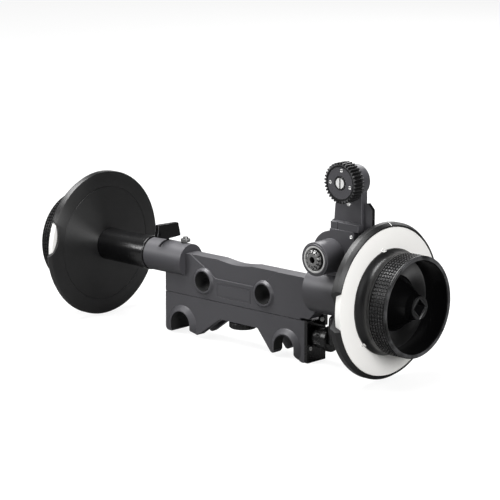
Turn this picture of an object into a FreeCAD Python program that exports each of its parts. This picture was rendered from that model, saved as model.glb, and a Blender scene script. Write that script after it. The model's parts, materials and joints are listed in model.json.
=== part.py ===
"""Two-sided follow focus on a bridge adapter for 19 mm studio rods.

Frame: the origin is midway between the axes of the two studio rods, in the vertical plane of the
handwheel shaft. +X points to the near handwheel, -Y to the face with the lens gear, +Z up.
All lengths are millimetres.
"""
import FreeCAD
import Part
import math
import os

# ---- rods and the heights above them
STUDIO_ROD_RADIUS = 9.5
STUDIO_ROD_SPACING = 104.0
STUDIO_SADDLE_CLEARANCE = 0.1
LIGHT_ROD_RADIUS = 7.5
LIGHT_ROD_SPACING = 60.0
LIGHT_ROD_CLEARANCE = 0.03
LIGHT_RODS_ABOVE_STUDIO = 35.75
SHAFT_ABOVE_LIGHT_RODS = 11.9

# ---- clearances
RUNNING_GAP = 0.05
FREE_GAP = 0.3

# ---- main body and bridge adapter
BODY_LEFT_PAST_ROD = 17.8
BODY_LEFT = -STUDIO_ROD_SPACING / 2 - BODY_LEFT_PAST_ROD
BODY_RIGHT = 79.0
BODY_THICKNESS = 12.0
BODY_ABOVE_SHAFT = 6.4
BODY_TOP_DIP = 1.6
SCOOP_HALF_WIDTH = 17.0
SCOOP_SHOULDER_X = -11.0
SCOOP_DEEP_LEFT = -1.0
SCOOP_DEEP_RIGHT = 6.0
BODY_BELOW_LIGHT_RODS = 13.5
BODY_END_CHAMFER = 5.6
ROD_BOSS_WALL = 2.6
ROD_BOSS_BEVEL = 1.6
ROD_BOSS_HEIGHT = 1.7
LOCK_SCREW_RADIUS = 2.1
LOCK_SCREW_SOCKET_RADIUS = 1.0
LOCK_SCREW_SOCKET_DEPTH = 2.0
LOCK_SCREW_SUNK = 0.4
FACE_RELIEF_DEPTH = 1.0
# corners of the face relief as (X, distance below the body's top)
FACE_RELIEF = ((-44.0, 0.0), (-26.5, 9.45), (-18.5, 14.55), (18.5, 14.55), (32.0, 8.45), (43.0, 0.0))
LABEL_WIDTH = 34.0
LABEL_HEIGHT = 10.6
LABEL_DEPTH = 0.6
LABEL_ABOVE_SEAM = 4.0
ADAPTER_RIGHT_PAST_ROD = 17.4
ADAPTER_RIGHT = STUDIO_ROD_SPACING / 2 + ADAPTER_RIGHT_PAST_ROD
ADAPTER_DEPTH = 20.0
ADAPTER_FRONT_PLATE = 6.5
ADAPTER_REAR_PLATE = 4.0
ADAPTER_LEFT_LEG = 7.4
ADAPTER_RIGHT_LEG = 8.6
ADAPTER_WEB_ABOVE_ARCH = 3.0
ADAPTER_ARCH_HEIGHT = 9.6
ARCH_FROM_LEFT_ROD = 37.5
ARCH_FROM_RIGHT_ROD = 28.5
ADAPTER_ARCH_LEFT = -STUDIO_ROD_SPACING / 2 + ARCH_FROM_LEFT_ROD
ADAPTER_ARCH_RIGHT = STUDIO_ROD_SPACING / 2 - ARCH_FROM_RIGHT_ROD
LEFT_TOE_FROM_ROD = 14.5
LEFT_TOE_RISE = 0.4
RIGHT_TOE_FROM_ROD = 13.5
RIGHT_TOE_RISE = 0.6
SADDLE_LIP = 3.5
LEFT_LEG_PAST_ROD = 5.0
LEG_CORNER = 2.0
TOE_CORNER = 3.0
OUTER_FOOT_CORNER = 6.5
EDGE_CORNER = 0.8
SADDLE_RIM_HEIGHT = 3.0
SADDLE_RIM_WALL = 4.4
SADDLE_RIM_LAND = 0.8
SADDLE_RIM_FOOT = 0.6
SEAM_SLIT_PAST_ROD = 13.4
SEAM_SLIT_LEFT = STUDIO_ROD_SPACING / 2 + SEAM_SLIT_PAST_ROD
SEAM_SLIT_HEIGHT = 2.0
END_BLOCK_THICKNESS = 2.7
ROLL_PIN_RADIUS = 1.5
ROLL_PIN_DEPTH = 2.0
ROLL_PIN_Y = -2.3
ROLL_PIN_Z = 1.9
DOVETAIL_WIDTH = 40.0
DOVETAIL_HEIGHT = 2.6
DOVETAIL_DEPTH = 7.0
DOVETAIL_UNDERCUT = 1.2
DOVETAIL_NECK = 2.0
DOVETAIL_GAP = 0.2
DOVETAIL_END_PLAY = 0.5
STOP_LENGTH = 6.0
STOP_THICKNESS = 3.2
STOP_GAP = 0.2
STOP_BELOW_SEAM = 3.8
STOP_ABOVE_SEAM = 4.2
STOP_SCREW_FROM_END = 3.9
STOP_SCREW_ABOVE_SEAM = 0.5
STOP_SCREW_RADIUS = 0.9
STOP_SCREW_HEAD_RADIUS = 1.6
STOP_SCREW_HEAD_HEIGHT = 1.1
STOP_SCREW_SOCKET_RADIUS = 0.8
STOP_SCREW_SOCKET_DEPTH = 0.6

# ---- shaft, sleeve and extension
SHAFT_RADIUS = 3.0
NOSE_BEARING_RADIUS = 5.6
BEARING_RADIUS = 5.0
BEARING_WIDTH = 5.0
NOSE_BEARING_INSET = 1.0
SLEEVE_RADIUS = 12.3
SLEEVE_LEFT = -87.0
SLEEVE_RIGHT = -49.0
SLEEVE_BORE_RADIUS = 9.4
SLEEVE_END_WALL = 5.0
LEVER_SLOT_HALF_WIDTH = 1.2
LEVER_SLOT_SPARE_DEG = 8.0
TUBE_BORE_RADIUS = 7.0
TUBE_COLLAR_RADIUS = 12.9
TUBE_COLLAR_LENGTH = 8.0
TUBE_COLLAR_BEVEL = 0.5
TUBE_SPIGOT_LENGTH = 9.0
TUBE_SPIGOT_GAP = 0.15
TUBE_PAST_DISH = 2.0
TUBE_SHOULDER_GAP = 0.1
SPACER_RECESS = 0.7
SLEEVE_TUBE_GAP = 1.5
COUPLING_RADIUS = 5.4
COUPLING_LENGTH = 10.0

# ---- index dishes, marking rings and handwheels
DISH_RADIUS = 55.35
DISH_RIM_WALL = 2.65
DISH_RIM_LAND = 0.2
DISH_BEVEL = 2.6
DISH_BACK_BEVEL = 0.8
DISH_THICKNESS = 7.3
DISH_WEB = 2.4
DISH_FLAT_INNER_RADIUS = 43.5
DISH_CONE_RISE = 3.8
DISH_HUB_WALL = 3.0
NEAR_FACE_X = 142.8
FAR_FACE_X = -147.9
NOTCH_RADIUS = 16.0
NOTCH_TOOL_HALF_LENGTH = 14.0
NOTCH_DEPTH = 7.4
NEAR_NOTCH_ANGLE = 1.5
FAR_NOTCH_ANGLE = 11.4
MARKING_RING_THICKNESS = 4.5
MARKING_RING_BEVEL = 0.3
COLLAR_RADIUS = 37.7
COLLAR_LENGTH = 1.4
COLLAR_OVERLAP = 3.0
WAIST_RADIUS = 34.0
WHEEL_RADIUS = 36.0
WHEEL_LIP_RADIUS = 35.3
WHEEL_LENGTH = 25.9
WHEEL_LIP_LENGTH = 1.7
GRIP_LENGTH = 11.0
CUP_RADIUS = 32.6
CUP_DEPTH = 20.0
CUP_MOUTH_BEVEL = 1.2
HUB_FOOT_RADIUS = 19.0
HUB_RADIUS = 8.4
HUB_PROUD = 1.6
HUB_BEVEL = 0.6
HUB_NECK_WALL = 0.9
HUB_NECK_DEPTH = 4.0
SOCKET_SIDE = 9.0
SOCKET_WALL = 1.1
SOCKET_SEAT_GAP = 0.1
SOCKET_FLOOR = 1.5
SOCKET_SUNK = 0.3
SOCKET_DEPTH = 12.0
CLIP_COUNT = 3
CLIP_ANGLE = 8.0
CLIP_LENGTH = 1.2
CLIP_HALF_WIDTH = 1.4
CLIP_HEIGHT = 1.1

# ---- gear housing and swing arm pivot
HOUSING_RADIUS = 18.0
HOUSING_WALL = 2.0
HOUSING_NEAR_WALL = 3.0
HOUSING_LEFT = 77.5
HOUSING_RIGHT = 130.0
HOUSING_NOSE_END = 137.6
DISH_SEAT_RADIUS = 12.0
FAR_SEAT_RADIUS = 9.5
PIVOT_X = 101.4
SCREW_GEAR_TEETH = 20
SCREW_GEAR_BACKLASH = 0.4
PIVOT_ABOVE_SHAFT = 28.8
SCREW_GEAR_WIDTH = 7.0
OUTPUT_GEAR_WIDTH = 6.0
OUTPUT_SHAFT_GAP = 0.4
OUTPUT_SHAFT_IN_COVER = 0.6
PIVOT_BARREL_WALL = 2.45
PIVOT_FRONT_Y = -32.0
BRACKET_FRONT_Y = -14.0
ARM_FRONT_Y = -8.6
ARM_BACK_Y = -2.4
ARM_LENGTH = 56.0
ARM_LEAN_DEG = 14.6
ARM_SWING_LEFT = 45.0
ARM_SWING_RIGHT = 5.0
JOURNAL_WALL = 1.5
JOURNAL_GAP = 0.44
JOURNAL_PLUG = 3.0
JOURNAL_FROM_BARREL_MOUTH = 6.5
JOURNAL_WINDOW_DEG = 38.0
OUTPUT_SHAFT_RADIUS = 2.5
DRUM_WALL = 1.2
COVER_THICKNESS = 1.6
COVER_STEP = 0.6
COVER_HUB_RADIUS = 4.5
COVER_HUB_LENGTH = 2.4
COVER_BORE_DEPTH = 0.9
COVER_SCREW_COUNT = 4
COVER_SCREW_CIRCLE = 13.5
COVER_SCREW_RADIUS = 1.7
COVER_SCREW_HEIGHT = 1.1
SCREW_SLOT_HALF_WIDTH = 0.3
SCREW_SLOT_DEPTH = 0.5

# ---- gears in the swing arm and the lens gear
ARM_GEAR_STEPS = 4
ARM_GEAR_TEETH = 25
ARM_GEAR_WIDTH = 3.0
ARM_GEAR_BACKLASH = 0.25
ARM_WALL = 1.0
BUSH_WALL = 1.0
BUSH_END_GAP = 0.1
IDLER_PIN_RADIUS = 2.0
LENS_GEAR_TEETH = 34
LENS_GEAR_MODULE = 0.8
LENS_GEAR_WIDTH = 9.6
LENS_GEAR_FRONT_Y = -22.0
DRIVE_SPINDLE_RADIUS = 3.0
DRIVE_BORE_RADIUS = 5.0
HEAD_BOSS_RADIUS = 11.0
HEAD_GAP = 0.6
FACE_RECESS_RADIUS = 11.6
FACE_RECESS_DEPTH = 2.2
FACE_PLATE_SUNK = 0.3
FACE_SCREW_CIRCLE = 9.0
FACE_SCREW_ANGLES = (7.0, 103.0, 269.0)
FACE_SCREW_RADIUS = 1.3
FACE_SCREW_SEAT = 1.1
CENTRE_SCREW_RADIUS = 4.4
CENTRE_SCREW_SUNK = 0.1
CENTRE_SCREW_HEIGHT = 1.2
CENTRE_SEAT_RADIUS = 5.2
CENTRE_SLOT_HALF_WIDTH = 0.55
CENTRE_SLOT_DEPTH = 0.7
BRACKET_RADIUS = 17.5
BRACKET_TOP = 19.3
BRACKET_REACH = 20.5
BRACKET_LOW = 6.0
BRACKET_LEFT = 2.0
BRACKET_SECTOR_LOW = 3.0
ARM_HUB_STEP = 2.4
ARM_HUB_REAR_STEP = 0.6
ARM_HUB_STEP_Y = -8.5
ARM_RIGHT = 22.6
ARM_FOOT_HEIGHT = 9.0
ARM_LEFT_EDGE = 4.4
ARM_LEFT_EDGE_TOP = 24.2
ARM_NOTCH_EDGE = 2.4
ARM_NOTCH_HEIGHT = 25.4
ARM_SHOULDER_EDGE = 1.6
ARM_SHOULDER_HEIGHT = 36.0
ARM_HEAD_SIDE = 12.0
ARM_HEAD_BELOW_GEAR = 9.0
ARM_HEAD_HALF_WIDTH = 8.0
ARM_HEAD_ROUNDING = 6.0
ARM_SHOULDER_ROUNDING = 10.0
ARM_TOP_BELOW_GEAR = 7.0
REAR_COVER_MARGIN = 0.4
REAR_COVER_PIVOT_MARGIN = 1.8
REAR_COVER_GAP = 0.1
CLAMP_BAR_LEFT = 1.2
CLAMP_BAR_RIGHT = 24.2
CLAMP_BAR_HEIGHT = 5.3
CLAMP_BAR_SUNK = 0.2
CLAMP_BAR_GROOVE_X = 5.0
CLAMP_BAR_GROOVE_WIDTH = 0.6
CLAMP_BAR_GROOVE_DEPTH = 1.2
THUMB_LEVER_GAP = 0.2
THUMB_LEVER_WIDTH = 7.6
THUMB_LEVER_FRONT_Y = -6.2
THUMB_LEVER_THICKNESS = 2.8
THUMB_LEVER_LOW = 14.0
THUMB_LEVER_TOP = 38.0
THUMB_LEVER_PEAK = 39.6
THUMB_LEVER_PEAK_X = 3.2
THUMB_LEVER_SHOULDER = 35.2
THUMB_LEVER_CORNER = 1.0
LEVER_PIN_RADIUS = 0.9
LEVER_PIN_HEAD_RADIUS = 1.6
LEVER_PIN_HEAD_LENGTH = 1.0
LEVER_PIN_ABOVE_FOOT = 2.2
RETAINING_RING_WALL = 1.1
RETAINING_RING_LENGTH = 6.0
RETAINING_RING_BORE = 7.7
RETAINING_RING_MOUTH = 8.4
RETAINING_RING_BEVEL = 0.5
NUT_PROUD = 2.4
NUT_BORE = 2.3
NUT_NOSE_RADIUS = 5.6
NUT_NOSE_LENGTH = 1.4
NUT_NOSE_EDGE = 0.3
NUT_RADIUS = 7.0
NUT_NOTCH_COUNT = 12
NUT_NOTCH_HALF_WIDTH = 0.5
NUT_NOTCH_DEPTH = 2.8
NUT_NOTCH_FLOOR = 4.4

# ---- clamps, levers and buttons
CLAMP_AXIS_Y = 4.4
CLAMP_AXIS_Z = 10.0
CLAMP_BARREL_RADIUS = 7.5
CLAMP_BARREL_LENGTH = 9.5
CLAMP_BARREL_BEVEL = 1.3
CLAMP_HEAD_RADIUS = 9.2
CLAMP_HEAD_LENGTH = 6.0
CLAMP_HEAD_BEVEL = 1.0
CLAMP_CROSS_HOLE_RADIUS = 1.4
CLAMP_CROSS_HOLE_X = 6.6
CLAMP_CROSS_HOLE_DEG = 60.0
CLAMP_SCREW_RADIUS = 2.5
CLAMP_SCREW_GRIP = 1.0
CLAMP_TAB_REACH = 14.0
CLAMP_TAB_END = 4.2
CLAMP_TAB_FOOT = 3.0
CLAMP_TAB_HALF_WIDTH = 4.6
CLAMP_TAB_END_HALF_WIDTH = 4.0
CLAMP_TAB_THICKNESS = 2.4
CLAMP_TAB_HOLE_RADIUS = 1.7
JAW_TRAVEL = 4.2
JAW_RIGHT_PAST_ROD = 10.0
JAW_RIGHT = STUDIO_ROD_SPACING / 2 + JAW_RIGHT_PAST_ROD
JAW_ROOM_SPARE = 0.5
JAW_ROOM_LEFT_OF_ROD = 13.5
JAW_LEFT_OF_ROD = 10.0
JAW_ABOVE_SCREW = 5.0
JAW_CEILING_GAP = 0.4
JAW_LOW_Z = -7.2
JAW_HOOK_FROM_ROD = 5.6
JAW_HOOK_TOP_Z = 4.0
JAW_SCREW_DEPTH = 5.4
LOCK_KNOB_RADIUS = 10.5
LOCK_KNOB_HEIGHT = 5.2
LOCK_KNOB_BEVEL = 1.0
LOCK_KNOB_FLUTES = 24
LOCK_KNOB_FLUTE_RADIUS = 0.8
LOCK_KNOB_FLUTE_OUT = 0.35
LOCK_STUD_RADIUS = 2.5
LOCK_STUD_BELOW_SEAM = 3.0
LEVER_X = -73.0
LEVER_SWEEP_DEG = 40.0
LEVER_STEM_RADIUS = 1.0
LEVER_STEM_ABOVE_SLEEVE = 5.0
LEVER_HALF_THICKNESS = 1.6
LEVER_ABOVE_SLEEVE = 1.2
# corners of the lever's thumb plate as (Y, height above its foot, rounding)
LEVER_OUTLINE = ((-3.4, 0.0, 0.4), (-12.4, 2.2, 1.0), (-11.2, 11.6, 0.8), (9.6, 10.8, 0.8), (12.2, 0.4, 1.0),
                 (3.4, 0.0, 0.4))
LOCK_RING_HALF_WIDTH = 3.0
PAWL_X = -56.0
PAWL_Y = 1.5
PAWL_STEM_RADIUS = 1.5
PAWL_STEM_DEPTH = 3.4
PAWL_CAP_RADIUS = 3.6
PAWL_CAP_LIFT = 0.8
PAWL_CAP_HEIGHT = 2.1
PAWL_GRIP_RADIUS = 2.0
PAWL_GRIP_HEIGHT = 1.5

# ---- what follows from the sizes above
LIGHT_ROD_Z = LIGHT_RODS_ABOVE_STUDIO
AXIS_Z = LIGHT_ROD_Z + SHAFT_ABOVE_LIGHT_RODS
SEAM_Z = LIGHT_ROD_Z - BODY_BELOW_LIGHT_RODS
BODY_TOP_Z = AXIS_Z + BODY_ABOVE_SHAFT
END_FACE_X = ADAPTER_RIGHT + END_BLOCK_THICKNESS
FRONT_Y = -BODY_THICKNESS / 2
BACK_Y = BODY_THICKNESS / 2
ADAPTER_BACK_Y = FRONT_Y + ADAPTER_DEPTH
SADDLE_RADIUS = STUDIO_ROD_RADIUS + STUDIO_SADDLE_CLEARANCE
LIGHT_BORE_RADIUS = LIGHT_ROD_RADIUS + LIGHT_ROD_CLEARANCE
PIVOT_Z = AXIS_Z + PIVOT_ABOVE_SHAFT
ARM_DIRECTION = (math.sin(math.radians(ARM_LEAN_DEG)), math.cos(math.radians(ARM_LEAN_DEG)))
ARM_STEP = ARM_LENGTH / ARM_GEAR_STEPS
ARM_MODULE = ARM_STEP / ARM_GEAR_TEETH
ARM_GEAR_TIP = ARM_STEP / 2 + ARM_MODULE
JOURNAL_RADIUS = ARM_GEAR_TIP + JOURNAL_GAP + JOURNAL_WALL
PIVOT_BARREL_RADIUS = JOURNAL_RADIUS + RUNNING_GAP + PIVOT_BARREL_WALL
ARM_HUB_RADIUS = PIVOT_BARREL_RADIUS + ARM_HUB_STEP
ARM_HUB_REAR_RADIUS = PIVOT_BARREL_RADIUS + ARM_HUB_REAR_STEP
GEAR_X = PIVOT_X + ARM_LENGTH * ARM_DIRECTION[0]
GEAR_Z = PIVOT_Z + ARM_LENGTH * ARM_DIRECTION[1]
SCREW_GEAR_RADIUS = PIVOT_ABOVE_SHAFT / 2
SCREW_GEAR_MODULE = PIVOT_ABOVE_SHAFT / SCREW_GEAR_TEETH
SCREW_GEAR_TIP = SCREW_GEAR_RADIUS + 0.7 * SCREW_GEAR_MODULE
SHAFT_BORE = SHAFT_RADIUS + FREE_GAP
TUBE_RIGHT = SLEEVE_LEFT - SLEEVE_TUBE_GAP
FAR_DISH_INNER_X = FAR_FACE_X + DISH_THICKNESS
NOTCH_CENTRE = DISH_RADIUS - NOTCH_DEPTH + NOTCH_RADIUS
MARKING_RING_RADIUS = DISH_RADIUS - DISH_RIM_WALL - FREE_GAP
RING_SEAT_RADIUS = COLLAR_RADIUS - COLLAR_OVERLAP
GRIP_END = WHEEL_LENGTH - WHEEL_LIP_LENGTH
HUB_END = WHEEL_LENGTH + HUB_PROUD
NOSE_BEARING_X = HOUSING_NOSE_END - NOSE_BEARING_INSET - BEARING_WIDTH
COUPLING_X = LEVER_X + COUPLING_LENGTH
JAW_ROOM_RIGHT = JAW_RIGHT + JAW_TRAVEL + JAW_ROOM_SPARE
KNOB_X = END_FACE_X + FREE_GAP
FACE_PLATE_FRONT_Y = LENS_GEAR_FRONT_Y + FACE_PLATE_SUNK
FACE_RECESS_Y = LENS_GEAR_FRONT_Y + FACE_RECESS_DEPTH
BRACKET_TOP_Z = PIVOT_Z + BRACKET_TOP
THUMB_LEVER_X = PIVOT_X + ARM_RIGHT + THUMB_LEVER_GAP
THUMB_LEVER_PIN_Y = THUMB_LEVER_FRONT_Y + THUMB_LEVER_THICKNESS / 2
THUMB_LEVER_PIN_Z = PIVOT_Z + THUMB_LEVER_LOW + LEVER_PIN_ABOVE_FOOT
GEAR_PLANE_Y = ARM_BACK_Y - ARM_WALL - FREE_GAP - ARM_GEAR_WIDTH
DRUM_FRONT_Y = ARM_BACK_Y + FREE_GAP
DRUM_BACK_Y = SCREW_GEAR_WIDTH + COVER_HUB_LENGTH + RUNNING_GAP * 2
JOURNAL_FRONT_Y = PIVOT_FRONT_Y + JOURNAL_FROM_BARREL_MOUTH
ADAPTER_ROOM_Y = FRONT_Y + ADAPTER_FRONT_PLATE
ADAPTER_REAR_Y = ADAPTER_BACK_Y - ADAPTER_REAR_PLATE

X_AXIS = FreeCAD.Vector(1, 0, 0)
Y_AXIS = FreeCAD.Vector(0, 1, 0)
Z_AXIS = FreeCAD.Vector(0, 0, 1)
PAST = 1.0  # how far a cutting tool reaches past what it cuts


# ---- small helpers ---------------------------------------------------------------------------
def vec(x, y, z):
    return FreeCAD.Vector(x, y, z)


def rod_x(radius, start, end, y=0.0, z=AXIS_Z):
    """Solid cylinder along X."""
    return Part.makeCylinder(radius, end - start, vec(start, y, z), X_AXIS)


def rod_y(radius, start, end, x, z):
    """Solid cylinder along Y."""
    return Part.makeCylinder(radius, end - start, vec(x, start, z), Y_AXIS)


def rod_z(radius, start, end, x, y):
    """Solid cylinder along Z."""
    return Part.makeCylinder(radius, end - start, vec(x, y, start), Z_AXIS)


def tube_x(outer, inner, start, end, y=0.0, z=AXIS_Z):
    return rod_x(outer, start, end, y, z).cut(rod_x(inner, start - PAST, end + PAST, y, z))


def tube_y(outer, inner, start, end, x, z):
    return rod_y(outer, start, end, x, z).cut(rod_y(inner, start - PAST, end + PAST, x, z))


def block(x0, x1, y0, y1, z0, z1):
    return Part.makeBox(x1 - x0, y1 - y0, z1 - z0, vec(x0, y0, z0))


def fuse(*shapes):
    """One solid from overlapping shapes, with leftover seams removed."""
    return shapes[0].fuse(list(shapes[1:])).removeSplitter()


def turned(profile, axis="x", centre=(0.0, AXIS_Z)):
    """Solid of revolution from (along, radius) points.

    axis is x, y or z. centre holds the two other coordinates of the axis, in alphabetical order.
    """
    if axis == "x":
        points = [vec(a, centre[0], centre[1] + r) for a, r in profile]
        base, direction = vec(0, centre[0], centre[1]), X_AXIS
    elif axis == "y":
        points = [vec(centre[0], a, centre[1] + r) for a, r in profile]
        base, direction = vec(centre[0], 0, centre[1]), Y_AXIS
    else:
        points = [vec(centre[0] + r, centre[1], a) for a, r in profile]
        base, direction = vec(centre[0], centre[1], 0), Z_AXIS
    face = Part.Face(Part.makePolygon(points + [points[0]]))
    return face.revolve(base, direction, 360)


def rounded_outline(corners, place):
    """Closed wire through (u, v, radius) corners; a radius above zero rounds that corner."""
    edges = []
    count = len(corners)
    starts, ends, middles = [], [], []
    for index in range(count):
        u, v, radius = corners[index]
        before, after = corners[index - 1], corners[(index + 1) % count]
        here = FreeCAD.Vector(u, v, 0)
        to_before = FreeCAD.Vector(before[0] - u, before[1] - v, 0).normalize()
        to_after = FreeCAD.Vector(after[0] - u, after[1] - v, 0).normalize()
        if radius <= 0:
            starts.append(here)
            ends.append(here)
            middles.append(None)
            continue
        half = to_before.getAngle(to_after) / 2
        back = radius / math.tan(half)
        bisector = (to_before + to_after).normalize()
        centre = here + bisector * (radius / math.sin(half))
        starts.append(here + to_before * back)
        ends.append(here + to_after * back)
        middles.append(centre - bisector * radius)
    for index in range(count):
        if middles[index] is not None:
            edges.append(Part.Arc(place(starts[index]), place(middles[index]), place(ends[index])).toShape())
        following = (index + 1) % count
        if ends[index].distanceToPoint(starts[following]) > 1e-6:
            edges.append(Part.LineSegment(place(ends[index]), place(starts[following])).toShape())
    return Part.Wire(edges)


def plate_y(corners, y0, y1):
    """Plate between two Y planes with an outline of (x, z, radius) corners."""
    wire = rounded_outline(corners, lambda p: vec(p.x, y0, p.y))
    return Part.Face(wire).extrude(vec(0, y1 - y0, 0))


def plate_x(corners, x0, x1):
    """Plate between two X planes with an outline of (y, z, radius) corners."""
    wire = rounded_outline(corners, lambda p: vec(x0, p.x, p.y))
    return Part.Face(wire).extrude(vec(x1 - x0, 0, 0))


def around_shaft(shape, angle_deg):
    """Copy of a shape turned about the handwheel shaft."""
    copy = shape.copy()
    copy.rotate(vec(0, 0, AXIS_Z), X_AXIS, angle_deg)
    return copy


def spur_gear(teeth, module, width, y0, x, z, backlash, phase_deg, addendum=1.0):
    """Straight gear about a Y axis. phase_deg is the direction of one tooth from +Z towards +X."""
    pitch_radius = teeth * module / 2
    root, tip = pitch_radius - 1.25 * module, pitch_radius + addendum * module
    half_pitch = math.pi * module / 4 - backlash / 2
    slope = math.tan(math.radians(20))
    half_root = (half_pitch + (pitch_radius - root) * slope) / root
    half_tip = (half_pitch - (tip - pitch_radius) * slope) / tip
    points = []
    for tooth in range(teeth):
        middle = math.radians(phase_deg + 360.0 * tooth / teeth)
        for radius, turn in ((root, -half_root), (tip, -half_tip), (tip, half_tip), (root, half_root)):
            angle = middle + turn
            points.append(vec(x + radius * math.sin(angle), y0, z + radius * math.cos(angle)))
    face = Part.Face(Part.makePolygon(points + [points[0]]))
    return face.extrude(vec(0, width, 0))


def screw_gear(point_at, start, end, phase):
    """Gear with teeth at 45 degrees; point_at(along, angle, radius) places an outline point."""
    teeth, module = SCREW_GEAR_TEETH, SCREW_GEAR_MODULE
    root = SCREW_GEAR_RADIUS - 0.95 * module
    tip = SCREW_GEAR_TIP
    half_pitch = math.pi * module / 4 - SCREW_GEAR_BACKLASH
    slope = math.tan(math.radians(27))
    half_root = (half_pitch + (SCREW_GEAR_RADIUS - root) * slope) / root
    half_tip = (half_pitch - (tip - SCREW_GEAR_RADIUS) * slope) / tip
    steps = 4
    sections = []
    for step in range(steps + 1):
        along = start + (end - start) * step / steps
        twist = along / SCREW_GEAR_RADIUS
        points = []
        for tooth in range(teeth):
            middle = twist + phase + 2 * math.pi * tooth / teeth
            for radius, turn in ((root, -half_root), (tip, -half_tip), (tip, half_tip), (root, half_root)):
                points.append(point_at(along, middle + turn, radius))
        sections.append(Part.makePolygon(points + [points[0]]))
    return Part.makeLoft(sections, True, True)


def arm_point(distance):
    """Point on the line from the pivot to the lens gear axis."""
    return PIVOT_X + distance * ARM_DIRECTION[0], PIVOT_Z + distance * ARM_DIRECTION[1]


# ---- body and adapter ------------------------------------------------------------------------
def body_wire():
    """Side outline of the main body: a shallow scoop in its top, a chamfer and a step at its right end."""
    top, under = BODY_TOP_Z, SEAM_Z + SEAM_SLIT_HEIGHT

    def at(x, z):
        return vec(x, FRONT_Y, z)

    scoop = Part.BSplineCurve()
    scoop.interpolate([at(-SCOOP_HALF_WIDTH, top), at(SCOOP_SHOULDER_X, top - 0.45 * BODY_TOP_DIP),
                       at(SCOOP_DEEP_LEFT, top - BODY_TOP_DIP),
                       at(SCOOP_DEEP_RIGHT, top - 0.88 * BODY_TOP_DIP),
                       at(SCOOP_HALF_WIDTH, top)])
    before = [at(SEAM_SLIT_LEFT, SEAM_Z), at(BODY_LEFT, SEAM_Z), at(BODY_LEFT, top),
              at(-SCOOP_HALF_WIDTH, top)]
    after = [at(SCOOP_HALF_WIDTH, top), at(BODY_RIGHT, top), at(BODY_RIGHT, under + BODY_END_CHAMFER),
             at(BODY_RIGHT - BODY_END_CHAMFER, under), at(SEAM_SLIT_LEFT, under), before[0]]
    edges = [Part.LineSegment(a, b).toShape() for a, b in zip(before, before[1:])]
    edges.append(scoop.toShape())
    edges += [Part.LineSegment(a, b).toShape() for a, b in zip(after, after[1:])]
    return Part.Wire(edges)


def main_body():
    """Flat body with a relieved face, two ringed rod bores, and seats for sleeve, bearings and housing."""
    shape = Part.Face(body_wire()).extrude(vec(0, BODY_THICKNESS, 0))
    relief = [(x, BODY_TOP_Z - below, 0) for x, below in FACE_RELIEF]
    relief = [(relief[0][0], BODY_TOP_Z + PAST, 0)] + relief + [(relief[-1][0], BODY_TOP_Z + PAST, 0)]
    shape = shape.cut(plate_y(relief, FRONT_Y - PAST, FRONT_Y + FACE_RELIEF_DEPTH))
    label_low = SEAM_Z + LABEL_ABOVE_SEAM
    shape = shape.cut(block(-LABEL_WIDTH / 2, LABEL_WIDTH / 2, FRONT_Y - PAST, FRONT_Y + LABEL_DEPTH,
                            label_low, label_low + LABEL_HEIGHT))
    boss_radius = LIGHT_BORE_RADIUS + ROD_BOSS_WALL
    for x in (-LIGHT_ROD_SPACING / 2, LIGHT_ROD_SPACING / 2):
        boss = turned([(FRONT_Y - ROD_BOSS_HEIGHT, 0),
                       (FRONT_Y - ROD_BOSS_HEIGHT, boss_radius - ROD_BOSS_BEVEL),
                       (FRONT_Y, boss_radius), (FRONT_Y + FACE_RELIEF_DEPTH + PAST, boss_radius),
                       (FRONT_Y + FACE_RELIEF_DEPTH + PAST, 0)], "y", (x, LIGHT_ROD_Z))
        shape = shape.fuse(boss)
        shape = shape.cut(rod_y(LIGHT_BORE_RADIUS, FRONT_Y - ROD_BOSS_HEIGHT - PAST, BACK_Y + PAST, x,
                                LIGHT_ROD_Z))
        shape = shape.cut(rod_z(LOCK_SCREW_RADIUS, SEAM_Z - PAST, LIGHT_ROD_Z, x, 0))
    shape = shape.cut(rod_x(SHAFT_BORE, BODY_LEFT - PAST, BODY_RIGHT + PAST))
    shape = shape.cut(rod_x(SLEEVE_RADIUS, BODY_LEFT - PAST, SLEEVE_RIGHT))
    shape = shape.cut(rod_x(HOUSING_RADIUS, HOUSING_LEFT, BODY_RIGHT + PAST))
    for x0 in (SLEEVE_RIGHT, HOUSING_LEFT - BEARING_WIDTH):
        shape = shape.cut(rod_x(BEARING_RADIUS, x0, x0 + BEARING_WIDTH))
    return shape.cut(dovetail_prism(DOVETAIL_WIDTH, 0.0)).removeSplitter()


def dovetail_prism(length, gap):
    """Key bar between body and adapter, wider at its top, that runs along X."""
    wide = DOVETAIL_DEPTH / 2 - gap
    narrow = wide - DOVETAIL_UNDERCUT
    low, high = SEAM_Z - DOVETAIL_NECK, SEAM_Z + DOVETAIL_HEIGHT - gap
    return plate_x([(-narrow, low, 0), (narrow, low, 0), (narrow, SEAM_Z, 0), (wide, high, 0),
                    (-wide, high, 0),
                    (-narrow, SEAM_Z, 0)], -length / 2, length / 2)


def dovetail_key():
    """The key itself, with play at its ends."""
    return dovetail_prism(DOVETAIL_WIDTH - 2 * DOVETAIL_END_PLAY, DOVETAIL_GAP)


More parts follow.
